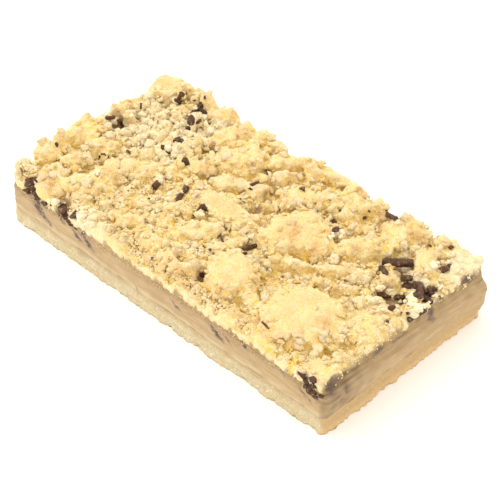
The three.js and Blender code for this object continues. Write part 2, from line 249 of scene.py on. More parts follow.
# Pale floury crumbs: x, y and radius.
FLOURY = [
    (-37.2, 7.6, 1.5), (-27.2, -31.8, 1.2), (-31.5, -31.4, 1.3), (-42.2, -32.2, 1.5),
    (-39.8, -30.4, 1.0), (-43.3, -14.8, 1.2), (-8.2, -6.9, 1.0), (-20.7, -6.9, 0.9),
    (25.3, 13.0, 1.8), (24.0, 11.6, 0.9), (48.3, 14.9, 1.2), (47.6, 16.8, 0.9), (48.3, 17.9, 0.8),
    (48.2, 4.9, 1.2), (50.2, 6.3, 0.9), (56.0, 7.8, 1.5), (57.6, 7.0, 2.0), (59.2, 6.6, 1.7),
    (60.5, 6.0, 1.6), (61.2, 8.9, 0.8), (61.0, 13.4, 0.8), (59.5, 16.7, 0.9),
    (52.0, 22.9, 1.3), (54.5, 25.6, 1.0), (-58.6, 9.4, 0.8), (-57.0, 11.0, 0.8),
    (-46.2, 27.6, 0.8), (-40.0, -34.6, 0.9), (-27.0, -34.0, 0.8), (54.0, -33.6, 0.9),
]

# Areas where the crumble is pale and dry: x, y, radius and strength.
PALE = [
    (57.0, 25.0, 7.0, 0.6), (60.0, 29.0, 5.0, 0.6),
    (56.0, -30.0, 7.0, 0.15), (-33.0, -30.5, 8.0, 0.6),
    (-24.0, -31.0, 6.0, 0.3), (48.0, -30.5, 4.0, 0.15),
    (-61.0, -28.0, 5.0, 0.4), (54.0, 14.0, 5.0, 0.4),
    (52.0, -2.0, 5.0, 0.4), (-22.0, -14.0, 6.0, 0.3),
]

# Pits given the full crevice colour, painted shade and bounced light deep down: x, y and radius.
GOLDEN_SHADE_PITS = [
    (-24.1, -19.6, 1.6), (-11.6, -15.4, 1.6), (-15.1, -26.7, 1.2),
    (-9.8, -22.1, 1.4), (-8.2, 6.1, 1.4),
    (28.3, -11.3, 1.4), (30.6, -13.5, 1.2), (34.9, -5.9, 1.6), (41.6, 9.2, 2.0), (39.7, 17.2, 1.6),
    (8.9, 24.3, 1.6), (14.3, 18.8, 1.4), (17.1, 25.4, 1.6), (26.5, -0.5, 1.4), (49.9, -31.1, 1.4),
    (41.6, -30.6, 1.2), (22.6, -14.1, 1.4), (29.6, -22.7, 1.4), (-57.5, -4.3, 1.4),
    (50.8, -30.0, 1.8), (47.0, -29.6, 1.6), (58.4, -26.8, 1.5),
]

# Chocolate dragged over the cut faces: how far along the face, height, half length, half height.
FRONT_SMEARS = [
    (-50.4, 11.8, 3.0, 3.2), (-47.8, 9.2, 2.0, 1.7),
    (-45.8, 7.7, 0.9, 0.8), (-40.6, 13.0, 2.2, 1.2),
    (-33.2, 10.8, 2.2, 1.5), (-28.6, 10.7, 3.2, 1.7), (-30.2, 12.8, 1.6, 1.2),
    (-8.0, 6.5, 1.6, 0.3), (7.4, 10.0, 2.2, 0.6), (23.6, 10.2, 3.4, 1.4),
    (27.6, 10.8, 2.4, 0.7), (33.4, 13.0, 1.5, 0.6), (45.4, 13.6, 2.2, 0.3), (47.8, 12.3, 1.4, 0.4),
    (55.4, 15.6, 1.5, 2.0), (57.6, 14.2, 1.6, 1.6), (59.4, 12.2, 1.4, 1.4), (54.6, 10.6, 1.6, 0.7),
    (57.2, 9.4, 1.4, 0.5),
]
RIGHT_SMEARS = [
    (-28.6, 16.1, 3.2, 3.6), (-24.0, 11.5, 0.9, 1.6),
    (-25.9, 8.7, 0.9, 0.6), (-11.0, 15.4, 3.0, 1.3),
    (-2.0, 14.4, 3.6, 0.6), (3.2, 18.6, 4.0, 1.2), (10.2, 14.8, 1.5, 3.0), (14.5, 17.0, 1.4, 0.9),
    (20.0, 16.3, 0.9, 0.9), (25.5, 16.6, 3.2, 2.0),
]


# ---------------------------------------------------------------- sizes, colours and studio


def length_property(name, description, default, low, high, precision=2):
    """A length, with its default and limits in millimetres."""
    return FloatProperty(
        name=name, description=description, default=default * MM, min=low * MM, max=high * MM,
        unit="LENGTH", precision=precision)


def count_property(name, description, default, most):
    """A number of things."""
    return IntProperty(name=name, description=description, default=default, min=0, max=most)


def colour_property(name, description, default):
    """A colour, as linear values."""
    return FloatVectorProperty(
        name=name, description=description, subtype="COLOR", default=default, min=0, max=1)


class SliceSizes(PropertyGroup):
    """Sizes of the slice and of what lies on it."""

    corner: length_property("Corner", "Radius of the cut corners", 2.0, 0.5, 5)
    wall_pitch: length_property(
        "Wall Pitch", "Step of the mesh on the cut faces", 0.42, 0.2, 2, precision=5)
    bed_pitch: length_property(
        "Crumble Pitch", "Step of the mesh of the fused crumble", 0.505, 0.3, 2, precision=5)
    knob_step: length_property(
        "Knob Step", "Distance between the knobs of the crumble", 2.2, 1, 5, precision=4)
    bed_level: length_property(
        "Bed Level", "Height of the crumble bed under the lumps", 16.9, 13, 18)
    crumb_count: count_property("Crumbs", "Number of crumbs settled between the lumps", 800, 2000)
    stud_count: count_property(
        "Baked Crumbs", "Number of crumbs baked on all over, sunk by about half", 560, 2000)
    field_count: count_property(
        "Loose Crumbs", "Number of crumbs in the loose field at the far left", 280, 1000)
    grain_count: count_property("Grains", "Number of grains smaller than a crumb", 3000, 8000)
    dust_count: count_property(
        "Fine Grains", "Number of the finest grains, spread over the lumps too", 4000, 8000)
    seed: IntProperty(name="Seed", description="Start of the random choices", default=7)


class SliceColours(PropertyGroup):
    """Colours of the baked layers, as linear values."""

    crumble: colour_property("Crumble", "Pale baked crumble", (0.89, 0.785, 0.50))
    # Crevice colour: partly the crumble's own golden colour, partly painted shade and bounced light
    # deep between crumbs.
    crevice_shade: colour_property("Crevice", "Golden colour deep between crumbs", (0.94, 0.67, 0.15))
    browned: colour_property("Browned", "Browned tops of the lumps", (0.70, 0.44, 0.19))
    floury: colour_property("Floury", "Pale floury crumbs", (0.97, 0.88, 0.66))
    biscuit: colour_property("Biscuit", "Biscuit base", (0.655, 0.573, 0.38))
    filling: colour_property("Filling", "Smooth filling", (0.451, 0.316, 0.1615))
    chocolate: colour_property("Chocolate", "Dark chocolate", (0.050, 0.024, 0.014))
    smeared: colour_property(
        "Smeared", "Chocolate dragged thin over a cut face", (0.24, 0.17, 0.14))


class StudioSettings(PropertyGroup):
    """Camera and light."""

    azimuth: FloatProperty(
        name="Azimuth", description="Camera's turn from the front, towards +X",
        default=math.radians(44.6), subtype="ANGLE")
    elevation: FloatProperty(
        name="Elevation", description="Camera's angle above the horizon",
        default=math.radians(40.86), subtype="ANGLE")
    distance: FloatProperty(
        name="Distance", description="Camera's distance from what it looks at",
        default=467.21 * MM, unit="LENGTH")
    target: FloatVectorProperty(
        name="Target", description="Point the camera looks at", subtype="TRANSLATION",
        default=(-2.36 * MM, 6.7 * MM, 0))
    lens: FloatProperty(
        name="Lens", description="Focal length on a 36 mm sensor, in millimetres", default=115.19)
    key_power: FloatProperty(
        name="Key Light", description="Power of the large light, in watts", default=1.75,
        unit="POWER")
    fill_strength: FloatProperty(
        name="Fill", description="Strength of the even light from all round", default=1.44)


def sizes():
    """The sizes set in the panel."""
    return bpy.context.scene.slice_sizes


def colours():
    """The colours set in the panel."""
    return bpy.context.scene.slice_colours


def studio():
    """The studio's settings."""
    return bpy.context.scene.slice_studio


# ---------------------------------------------------------------- meshes


def smoothstep(low, high, value):
    """0 below the low end, 1 above the high end, and a smooth rise between them."""
    share = min(1.0, max(0.0, (value - low) / (high - low)))
    return share * share * (3 - 2 * share)


def even_steps(low, high, values):
    """smoothstep for an array."""
    share = np.clip((values - low) / (high - low), 0, 1)
    return share * share * (3 - 2 * share)


def as_mesh(name, bm):
    """Turns a bmesh into a mesh."""
    mesh = bpy.data.meshes.new(name)
    bm.to_mesh(mesh)
    bm.free()
    return mesh


def grown(bm, edges):
    """Extrudes edges and returns the new vertices and edges."""
    geometry = bmesh.ops.extrude_edge_only(bm, edges=edges)["geom"]
    return ([part for part in geometry if isinstance(part, kind)]
            for kind in (bmesh.types.BMVert, bmesh.types.BMEdge))


def finished(name, bm, material, replaced=()):
    """Turns a bmesh into a piece that rides on the slice, smooth but for broad level faces."""
    mesh = as_mesh(name, bm)
    mesh.polygons.foreach_set("use_smooth", [
        len(face.vertices) == 3 or abs(face.normal.z) < 0.9 for face in mesh.polygons])
    piece = bpy.data.objects.new(name, mesh)
    bpy.context.scene.collection.objects.link(piece)
    mesh.materials.append(material)
    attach(piece, BODY)
    if replaced:
        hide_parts(*replaced)
    return piece


def positions(mesh):
    """A mesh's vertices as rows of x, y, z."""
    flat = np.empty(len(mesh.vertices) * 3, np.float32)
    mesh.vertices.foreach_get("co", flat)
    return flat.reshape(-1, 3)


def write_attribute(mesh, name, values):
    """Writes one number for each vertex, which the material reads."""
    attribute = mesh.attributes.get(name) or mesh.attributes.new(name, "FLOAT", "POINT")
    attribute.data.foreach_set("value", np.asarray(values, np.float32))


def outward(co):
    """Direction out of the slice's side at a point, or None well inside."""
    half_x, half_y = BASE_BOX[1].x, BASE_BOX[1].y
    reach = 2.5 * MM
    x = max(0.0, abs(co.x) - half_x + reach)
    y = max(0.0, abs(co.y) - half_y + reach)
    if x == 0 and y == 0:
        return None
    return Vector((math.copysign(x, co.x), math.copysign(y, co.y), 0)).normalized()


def cut_block(bottom, top, pitch):
    """A closed block of the slice's outline, with fine walls and plainer faces above and below."""
    half_x, half_y = HALF_LENGTH * MM, HALF_WIDTH * MM
    bm = bmesh.new()
    bmesh.ops.create_grid(bm, x_segments=1, y_segments=1, size=1)
    bmesh.ops.scale(bm, vec=(half_x, half_y, 1), verts=bm.verts)
    bmesh.ops.translate(bm, vec=(0, 0, bottom), verts=bm.verts)
    bmesh.ops.bevel(
        bm, geom=bm.verts[:], offset=sizes().corner, segments=5, profile=0.5,
        affect="VERTICES", material=-1)
    bmesh.ops.delete(bm, geom=bm.faces[:], context="FACES_ONLY")
    for axis in (0, 1):
        long_edges = [
            e for e in bm.edges
            if abs(e.verts[0].co[axis] - e.verts[1].co[axis]) > 20 * MM]
        cuts = round(long_edges[0].calc_length() / pitch) - 1
        bmesh.ops.subdivide_edges(bm, edges=long_edges, cuts=cuts)
    outline = bm.edges[:]
    ring = outline
    bands = round((top - bottom) / pitch)
    for _ in range(bands):
        ring = raised(bm, ring, (0, 0, (top - bottom) / bands))
    for edges, level in ((outline, bottom), (ring, top)):
        for share in (0.992, 0.97, 0.9, 0.6):
            edges = drawn_in(bm, edges, share)
        bmesh.ops.contextual_create(bm, geom=edges)
    bmesh.ops.recalc_face_normals(bm, faces=bm.faces)
    return bm


def raised(bm, edges, step):
    """Extrudes edges by a step."""
    verts, ring = grown(bm, edges)
    bmesh.ops.translate(bm, vec=step, verts=verts)
    return ring


def drawn_in(bm, edges, share):
    """Extrudes edges towards the middle."""
    verts, ring = grown(bm, edges)
    bmesh.ops.scale(bm, vec=(share, share, 1), verts=verts)
    return ring


def wander(co, scale):
    """Slow noise at each of many points."""
    return np.array([noise.noise(Vector(row) * scale) for row in co])


def corner_bulge(co):
    """How far the far right corner stands out at a point, in millimetres."""
    corner = smoothstep(52, 62, co.x) * smoothstep(22, 32, co.y)
    return 1.7 * corner * smoothstep(1.0, 6.0, co.z) * (1 - 0.6 * smoothstep(10.5, 13.0, co.z))


def gather(shapes):
    """Joins many meshes into one bmesh and removes them."""
    bm = bmesh.new()
    for mesh in shapes:
        bm.from_mesh(mesh)
    discard(shapes)
    return bm


def discard(shapes):
    """Removes meshes that are of no more use."""
    for mesh in shapes:
        bpy.data.meshes.remove(mesh)


def crumb_templates(rng, subdivisions, count, roughness):
    """A few irregular blobs of radius 1, as meshes."""
    shapes = []
    for _ in range(count):
        bm = bmesh.new()
        bmesh.ops.create_icosphere(bm, subdivisions=subdivisions, radius=1)
        offset = Vector([rng.uniform(-50, 50) for _ in range(3)])
        stretch = Vector([rng.uniform(0.72, 1.25) for _ in range(3)])
        for vert in bm.verts:
            swell = roughness * noise.noise(vert.co * 1.2 + offset)
            swell += 0.8 * roughness * noise.noise(vert.co * 2.4 - offset)
            vert.co = vert.co * stretch * (1 + swell)
        shapes.append(as_mesh("blob", bm))
    return shapes


def blob(shape, rng, place, radius, squash=SQUASH):
    """A copy of a template, turned at random, at its place and size."""
    turn = Euler([rng.uniform(0, math.tau) for _ in range(3)]).to_matrix().to_4x4()
    size = Matrix.Diagonal((radius, radius, radius * squash, 1))
    mesh = shape.copy()
    mesh.transform(Matrix.Translation(place) @ size @ turn)
    return mesh


# ---------------------------------------------------------------- how high the crumble lies


def surfaces(names):
    """Search trees of the named pieces."""
    depsgraph = bpy.context.evaluated_depsgraph_get()
    return [BVHTree.FromObject(bpy.data.objects[name], depsgraph) for name in names]


class Relief:
    """Heights of what has been built so far, on a fine grid seen from above."""

    pitch = 0.5 * MM

    def __init__(self, trees):
        half_x, half_y = 67 * MM, 36 * MM
        self.xs = np.arange(-half_x, half_x, self.pitch)
        self.ys = np.arange(-half_y, half_y, self.pitch)
        self.heights = np.zeros((len(self.xs), len(self.ys)))
        down = Vector((0, 0, -1))
        for tree in trees:
            for i, x in enumerate(self.xs):
                for j, y in enumerate(self.ys):
                    hit = tree.ray_cast((x, y, 0.05), down)[0]
                    if hit is not None and hit.z > self.heights[i, j]:
                        self.heights[i, j] = hit.z

    def cell(self, x, y):
        """Row and column of a point."""
        i = int((x - self.xs[0]) / self.pitch + 0.5)
        j = int((y - self.ys[0]) / self.pitch + 0.5)
        return min(max(i, 0), len(self.xs) - 1), min(max(j, 0), len(self.ys) - 1)

    def at(self, x, y):
        """Height at a point."""
        return self.heights[self.cell(x, y)]

    def around(self, x, y, radius):
        """Mean height within a radius."""
        i, j = self.cell(x, y)
        n = max(1, int(radius / self.pitch))
        return self.heights[max(i - n, 0):i + n + 1, max(j - n, 0):j + n + 1].mean()

    def stamp(self, x, y, z, radius):
        """Adds a blob's upper side."""
        i, j = self.cell(x, y)
        n = int(radius / self.pitch) + 1
        rows, columns = slice(max(i - n, 0), i + n + 1), slice(max(j - n, 0), j + n + 1)
        away = (self.xs[rows, None] - x) ** 2 + (self.ys[None, columns] - y) ** 2
        dome = z + SQUASH * np.sqrt(np.maximum(radius ** 2 - away, 0))
        dome[away > radius ** 2] = 0
        self.heights[rows, columns] = np.maximum(self.heights[rows, columns], dome)

    def blurred(self, spread):
        """The heights smoothed over a distance."""
        n = max(1, int(spread / self.pitch))
        kernel = np.exp(-0.5 * (np.arange(-2 * n, 2 * n + 1) / n) ** 2)
        kernel /= kernel.sum()
        inside = (self.heights > 0).astype(float)

        def smooth(grid):
            grid = np.apply_along_axis(lambda row: np.convolve(row, kernel, "same"), 0, grid)
            return np.apply_along_axis(lambda row: np.convolve(row, kernel, "same"), 1, grid)

        return smooth(self.heights) / np.maximum(smooth(inside), 1e-6)

    def sample(self, grid, co):
        """A grid's values at many points."""
        i = np.clip(((co[:, 0] - self.xs[0]) / self.pitch + 0.5).astype(int), 0, len(self.xs) - 1)
        j = np.clip(((co[:, 1] - self.ys[0]) / self.pitch + 0.5).astype(int), 0, len(self.ys) - 1)
        return grid[i, j]


def camera_place():
    """Where the camera stands, and the direction from its target to it."""
    s = studio()
    a, e = s.azimuth, s.elevation
    back = Vector((math.sin(a) * math.cos(e), -math.cos(a) * math.cos(e), math.sin(e)))
    return Vector(s.target) + back * s.distance, back


class Landing:
    """Finds where a point seen at the crumble's top level meets what has been built."""

    level = 18 * MM

    def __init__(self, names):
        self.trees = surfaces(names)
        self.eye = camera_place()[0]

    def find(self, x, y):
        """The nearest hit from the camera through (x, y) at the top level, in metres."""
        aim = Vector((x * MM, y * MM, self.level)) - self.eye
        hits = [tree.ray_cast(self.eye, aim.normalized()) for tree in self.trees]
        found = [(hit[3], hit[0], hit[1]) for hit in hits if hit[0] is not None]
        if not found:
            return Vector((x * MM, y * MM, self.level - 2 * MM)), Vector((0, 0, 1))
        return min(found, key=lambda f: f[0])[1:]


# ---------------------------------------------------------------- materials


def add(tree, kind, **values):
    """Adds a node, sets its properties and its inputs by name."""
    node = tree.nodes.new(kind)
    for key, value in values.items():
        label = key.replace("_", " ").title()
        if label in node.inputs:
            node.inputs[label].default_value = value
        else:
            setattr(node, key, value)
    return node


def join(tree, source, socket, target, target_socket):
    """Links two nodes by the names of their sockets."""
    tree.links.new(source.outputs[socket], target.inputs[target_socket])


def attribute(tree, name):
    """The value of a vertex attribute."""
    node = tree.nodes.new("ShaderNodeAttribute")
    node.attribute_name = name
    return node.outputs["Fac"]


def blend_colour(tree, factor, a, b, kind="MIX"):
    """A colour mix. Each argument is an output socket or a constant."""
    node = tree.nodes.new("ShaderNodeMix")
    node.data_type = "RGBA"
    node.blend_type = kind
    for socket, value in ((node.inputs[0], factor), (node.inputs[6], a), (node.inputs[7], b)):
        if isinstance(value, bpy.types.NodeSocket):
            tree.links.new(value, socket)
        elif isinstance(value, (int, float)):
            socket.default_value = value
        else:
            socket.default_value = (*value[:3], 1)
    return node.outputs[2]


def layered(tree, colour, layers):
    """A colour with others laid over it, each by its own factor."""
    for factor, tint in layers:
        colour = blend_colour(tree, factor, colour, tint)
    return colour


def calculate(tree, operation, a, b, clamp=False):
    """A sum on two values. Each is an output socket or a constant."""
    node = tree.nodes.new("ShaderNodeMath")
    node.operation = operation
    node.use_clamp = clamp
    for socket, value in zip(node.inputs, (a, b)):
        if isinstance(value, bpy.types.NodeSocket):
            tree.links.new(value, socket)
        else:
            socket.default_value = value
    return node.outputs[0]


def scaled(tree, value, by):
    """A value multiplied by another or by a number."""
    return calculate(tree, "MULTIPLY", value, by)


def stepped(tree, value, low, high, to_low=0.0, to_high=1.0):
    """A value mapped smoothly from one range to another."""
    node = tree.nodes.new("ShaderNodeMapRange")
    node.interpolation_type = "SMOOTHSTEP"
    tree.links.new(value, node.inputs[0])
    for socket, number in zip(node.inputs[1:5], (low, high, to_low, to_high)):
        socket.default_value = number
    return node.outputs[0]


def tinted(colour, red, green, blue):
    """A colour with each channel multiplied, at most 1."""
    return [min(1.0, value * by) for value, by in zip(colour, (red, green, blue))]


def baked_grain():
    """Shared by every baked surface: a fine crumbly height, and masks for specks and mottling."""
    group = bpy.data.node_groups.get("Baked Grain")
    if group:
        return group
    group = bpy.data.node_groups.new("Baked Grain", "ShaderNodeTree")
    face = group.interface
    for name, value in (("Grain Scale", 1100.0), ("Speck Scale", 900.0), ("Mottle Scale", 260.0)):
        socket = face.new_socket(name=name, in_out="INPUT", socket_type="NodeSocketFloat")
        socket.default_value = value
    for name in ("Height", "Crests", "Specks", "Mottle", "Sugar"):
        face.new_socket(name=name, in_out="OUTPUT", socket_type="NodeSocketFloat")
    inputs = group.nodes.new("NodeGroupInput")
    outputs = group.nodes.new("NodeGroupOutput")
    coordinates = group.nodes.new("ShaderNodeTexCoord")
    fine = add(group, "ShaderNodeTexNoise", detail=4.0, roughness=0.6)
    pores = add(group, "ShaderNodeTexVoronoi", feature="F1")
    specks = add(group, "ShaderNodeTexNoise", detail=2.0, roughness=0.6)
    mottle = add(group, "ShaderNodeTexNoise", detail=3.0, roughness=0.6)
    sugar = add(group, "ShaderNodeTexNoise", scale=3300.0, detail=1.0)
    join(group, coordinates, "Object", sugar, "Vector")
    for texture, name in (
            (fine, "Grain Scale"), (pores, "Grain Scale"),
            (specks, "Speck Scale"), (mottle, "Mottle Scale")):
        group.links.new(coordinates.outputs["Object"], texture.inputs["Vector"])
        group.links.new(inputs.outputs[name], texture.inputs["Scale"])
    bumps = scaled(group, pores.outputs["Distance"], -0.5)
    height = calculate(group, "ADD", fine.outputs["Fac"], bumps)
    group.links.new(height, outputs.inputs["Height"])
    group.links.new(stepped(group, height, 0.18, 0.36), outputs.inputs["Crests"])
    for name, texture, low, high in (
            ("Specks", specks, 0.56, 0.72), ("Mottle", mottle, 0.3, 0.7),
            ("Sugar", sugar, 0.38, 0.62)):
        mask = stepped(group, texture.outputs["Fac"], low, high)
        group.links.new(mask, outputs.inputs[name])
    return group


def new_material(name, roughness, bump_strength, bump_distance, specular=0.25):
    """A material with its tree, its shader and a bump node that feeds the shader's normal."""
    material = bpy.data.materials.new(name)
    material.use_nodes = True
    tree = material.node_tree
    shader = tree.nodes["Principled BSDF"]
    shader.inputs["Roughness"].default_value = roughness
    shader.inputs["Specular IOR Level"].default_value = specular
    bump = add(tree, "ShaderNodeBump", strength=bump_strength, distance=bump_distance)
    join(tree, bump, "Normal", shader, "Normal")
    return material, tree, shader, bump


def grain_in(tree, **scales):
    """The baked grain's outputs, and how deep in its pits a point is."""
    node = tree.nodes.new("ShaderNodeGroup")
    node.node_tree = baked_grain()
    for key, value in scales.items():
        node.inputs[key.replace("_", " ").title()].default_value = value
    return node.outputs, calculate(tree, "SUBTRACT", 1.0, node.outputs["Crests"])


def crumble_material():
    """Pale crumble: golden in its crevices and fine pits, partly its own baked colour and partly
    painted shade and bounced light, paler on its ridges with painted light, browned on its lumps,
    tan where the filling shows.
    """
    material = bpy.data.materials.get("Crumble")
    if material:
        return material
    c = colours()
    material, tree, shader, bump = new_material("Crumble", 0.8, 1.0, 0.29 * MM)
    grain, pits = grain_in(tree, grain_scale=2000.0, speck_scale=1800.0)
    tree.links.new(grain["Height"], bump.inputs["Height"])
    mask = {name: attribute(tree, name) for name in (
        "tone_and_ridge_light", "crevice_shade", "browned", "bare", "floury", "smear", "dark")}
    blotchy = calculate(tree, "ADD", scaled(tree, grain["Mottle"], 0.6), 0.5)
    toasted_and_shade = calculate(
        tree, "MULTIPLY", mask["browned"], scaled(tree, blotchy, 1.05), clamp=True)
    bare = blend_colour(tree, grain["Mottle"], c.filling, tinted(c.filling, 1.12, 1.14, 1.2))
    colour = layered(tree, c.crumble, (
        (grain["Mottle"], tinted(c.crumble, 1.0, 0.94, 0.8)),
        # Fine pits of the grain take the crevice colour: painted shade.
        (scaled(tree, pits, 0.85), c.crevice_shade),
        # A random paleness for each crumb, and painted light on the ridges of the fused mass.
        (mask["tone_and_ridge_light"], tinted(c.crumble, 1.0, 1.03, 1.22)),
        (scaled(tree, grain["Specks"], 0.6), c.crevice_shade),
        # The crevice mask: painted shade and bounced light in the hollows.
        (toasted_and_shade, c.browned), (mask["crevice_shade"], c.crevice_shade), (mask["floury"], c.floury),
        # The dark mask holds thick chocolate and painted shade on the cut walls.
        (mask["bare"], bare), (mask["smear"], c.smeared), (mask["dark"], c.chocolate)))
    sugar = scaled(tree, grain["Sugar"], 0.8)
    colour = blend_colour(tree, sugar, colour, (0.82, 0.77, 0.66), "MULTIPLY")
    tree.links.new(colour, shader.inputs["Base Color"])
    return material


def biscuit_material():
    """Pale, dry biscuit with darker specks and an uneven, crumbly surface, with painted shade in its
    fine pits and on its right cut face.
    """
    c = colours()
    material, tree, shader, bump = new_material("Biscuit", 0.85, 1.0, 0.3 * MM)
    grain, pits = grain_in(tree, grain_scale=1900.0, speck_scale=1300.0, mottle_scale=180.0)
    tree.links.new(grain["Height"], bump.inputs["Height"])
    colour = layered(tree, c.biscuit, (
        (grain["Mottle"], tinted(c.biscuit, 1.08, 1.12, 1.25)),
        # Fine pits darker: painted shade.
        (scaled(tree, pits, 0.5), tinted(c.biscuit, 0.92, 0.83, 0.62)),
        (scaled(tree, grain["Specks"], 0.7), c.floury),
        # Browned flecks, and painted shade on the right cut face.
        (attribute(tree, "toasted_and_shade"), c.browned),
        # Filling colour dragged over by the knife, and on the right cut face painted shade as well.
        (attribute(tree, "smooth"), tinted(c.filling, 1.1, 1.12, 1.15))))
    sugar = scaled(tree, grain["Sugar"], 0.5)
    colour = blend_colour(tree, sugar, colour, (0.84, 0.78, 0.68), "MULTIPLY")
    tree.links.new(colour, shader.inputs["Base Color"])
    return material


def filling_material():
    """Set filling with fine drag marks from the knife and thin smears of chocolate, with painted
    shade in its sandy pits and on its cut faces.
    """
    c = colours()
    material, tree, shader, bump = new_material("Filling", 0.55, 0.3, 0.25 * MM, specular=0.35)
    coordinates = tree.nodes.new("ShaderNodeTexCoord")
    mapping = add(tree, "ShaderNodeMapping")
    mapping.inputs["Rotation"].default_value = (0, math.radians(-9), 0)
    mapping.inputs["Scale"].default_value = (90, 90, 620)
    join(tree, coordinates, "Object", mapping, "Vector")
    drag = add(tree, "ShaderNodeTexNoise", scale=1.0, detail=4.0, roughness=0.6, distortion=1.4)
    join(tree, mapping, "Vector", drag, "Vector")
    grain, pits = grain_in(tree, grain_scale=1700.0, speck_scale=800.0, mottle_scale=200.0)
    sandy = attribute(tree, "sandy")
    coarse = stepped(tree, sandy, 0.0, 1.0, 0.35, 2.5)
    height = calculate(tree, "MULTIPLY_ADD", grain["Height"], coarse)
    tree.links.new(drag.outputs["Fac"], height.node.inputs[2])
    tree.links.new(height, bump.inputs["Height"])
    colour = layered(tree, tinted(c.filling, 0.94, 0.92, 0.9), (
        (stepped(tree, drag.outputs["Fac"], 0.35, 0.65), tinted(c.filling, 1.18, 1.23, 1.33)),
        (scaled(tree, grain["Mottle"], 0.5), tinted(c.filling, 0.9, 0.86, 0.82)),
        # Pits of the sandy top darker: painted shade.
        (scaled(tree, pits, scaled(tree, sandy, 0.7)), tinted(c.filling, 0.62, 0.55, 0.5)),
        (scaled(tree, grain["Specks"], 0.25), c.browned),
        (attribute(tree, "pale"), c.biscuit),
        (attribute(tree, "smear"), c.smeared),
        # The dark attribute holds thick chocolate and painted shade on the cut faces.
        (attribute(tree, "dark"), c.chocolate)))
    tree.links.new(colour, shader.inputs["Base Color"])
    return material


def chocolate_material():
    """Dark chocolate, satin, with a dusting of crumbs in places."""
    material = bpy.data.materials.get("Chocolate")
    if material:
        return material
    c = colours()
    material, tree, shader, bump = new_material("Chocolate", 0.5, 0.8, 0.4 * MM, specular=0.22)
    grain, _ = grain_in(tree, grain_scale=1600.0, speck_scale=1100.0, mottle_scale=350.0)
    tree.links.new(grain["Height"], bump.inputs["Height"])
    colour = layered(tree, c.chocolate, (
        (grain["Mottle"], tinted(c.chocolate, 2.5, 2.4, 2.2)),
        (scaled(tree, grain["Specks"], 0.22), c.crumble)))
    tree.links.new(colour, shader.inputs["Base Color"])
    return material


# ---------------------------------------------------------------- the three layers


class SLICE_OT_base(Operator):
    """Build the biscuit base, with crumbly cut walls and a ragged lower edge"""

    bl_idname = "slice.base"
    bl_label = "Biscuit Base"

    def execute(self, context):
        noise.seed_set(sizes().seed)
        top = FILLING_BOX[0].z - 0.05 * MM
        bm = cut_block(0.0, top, sizes().wall_pitch)
        for vert in bm.verts:
            out = outward(vert.co)
            if out is None:
                continue
            co = vert.co / MM
            low = 1 - smoothstep(0.0, 2.0, co.z)
            swell = 0.34 * noise.noise(co * 0.16 + Vector((3, 0, 0)))
            swell += 0.3 * noise.noise(co * 0.55)
            rough = 1 - smoothstep(4.4, 5.6, co.z)
            bent = co / 1.5 + 0.4 * noise.noise_vector(co)
            swell += rough * 0.5 * (0.3 - noise.voronoi(bent)[0][0] ** 2)
            swell += rough * 0.3 * noise.noise(co * 1.3)
            swell += 0.6 * low * noise.noise(co * 0.27 + Vector((0, 9, 0)))
            swell += 0.4 * low * noise.noise(co * 0.9 + Vector((0, 0, 9)))
            swell += 0.2 * low
            vert.co += out * swell * MM
            vert.co += out * corner_bulge(co) * MM
            if co.z < 0.01:
                vert.co.z += max(0.0, noise.noise(co * 0.9 + Vector((0, 0, 5)))) * 0.5 * MM
        piece = finished("biscuit_base", bm, biscuit_material(), ["base"])
        co = positions(piece.data) / MM
        x, z = co[:, 0], co[:, 2]
        # The right cut face takes filling and browned colour: partly filling dragged over by the
        # knife, partly painted shade.
        at_right = even_steps(61.0, 62.0, x)
        right = at_right * even_steps(0.8, 3.0, z)
        upper = even_steps(3.2, 5.8, z + 1.2 * wander(co, 0.35))
        write_attribute(piece.data, "smooth", np.maximum(0.6 * right, 0.75 * upper))
        low = 1 - even_steps(0.8, 4.2, z)
        flecks = 0.95 * even_steps(0.1, 0.4, wander(co, 0.7)) * low * (0.35 + 0.65 * right)
        # Browned flecks low down, and painted shade over the whole right cut face.
        write_attribute(piece.data, "toasted_and_shade", np.maximum(flecks, 0.7 * at_right))
        return {"FINISHED"}


def smear_masks(co):
    """Thin and thick chocolate on the cut faces at each vertex, from 0 to 1, in millimetres."""
    thin, thick = np.zeros(len(co)), np.zeros(len(co))
    front, back = co[:, 1] < -30.6, co[:, 1] > 30.6
    right, left = (co[:, 0] > 60.6) & ~front, (co[:, 0] < -60.6) & ~front & ~back
    for on_face, axis, turn, smears in (
            (front, 0, 1, FRONT_SMEARS), (right, 1, 1, RIGHT_SMEARS),
            (back & ~right, 0, -1, FRONT_SMEARS[4:14]), (left, 1, -1, RIGHT_SMEARS[1:9])):
        rows = np.flatnonzero(on_face & (co[:, 2] > 5.5))
        along, up = turn * co[rows, axis], co[rows, 2]
        warp, ragged = np.array([
            [noise.noise(Vector((u * a, v * b, c))) for a, b, c in ((0.5, 1.2, 4), (0.9, 2.2, 9))]
            for u, v in zip(along, up)]).T
        for x, z, half_x, half_z in smears:
            across = along - x + 0.8 * warp
            rise = up - z + 0.5 * warp + (0.65 * across if axis == 0 else 0)
            reach = np.hypot(across / half_x, rise / half_z) + 0.4 * ragged
            thin[rows] = np.maximum(thin[rows], 0.9 * (1 - even_steps(0.5, 1.15, reach)))
            core = 1 - even_steps(0.15, 0.65, reach + 0.4 * ragged)
            thick[rows] = np.maximum(thick[rows], (0.85 if axis == 0 else 0.5) * core)
    return thin, thick


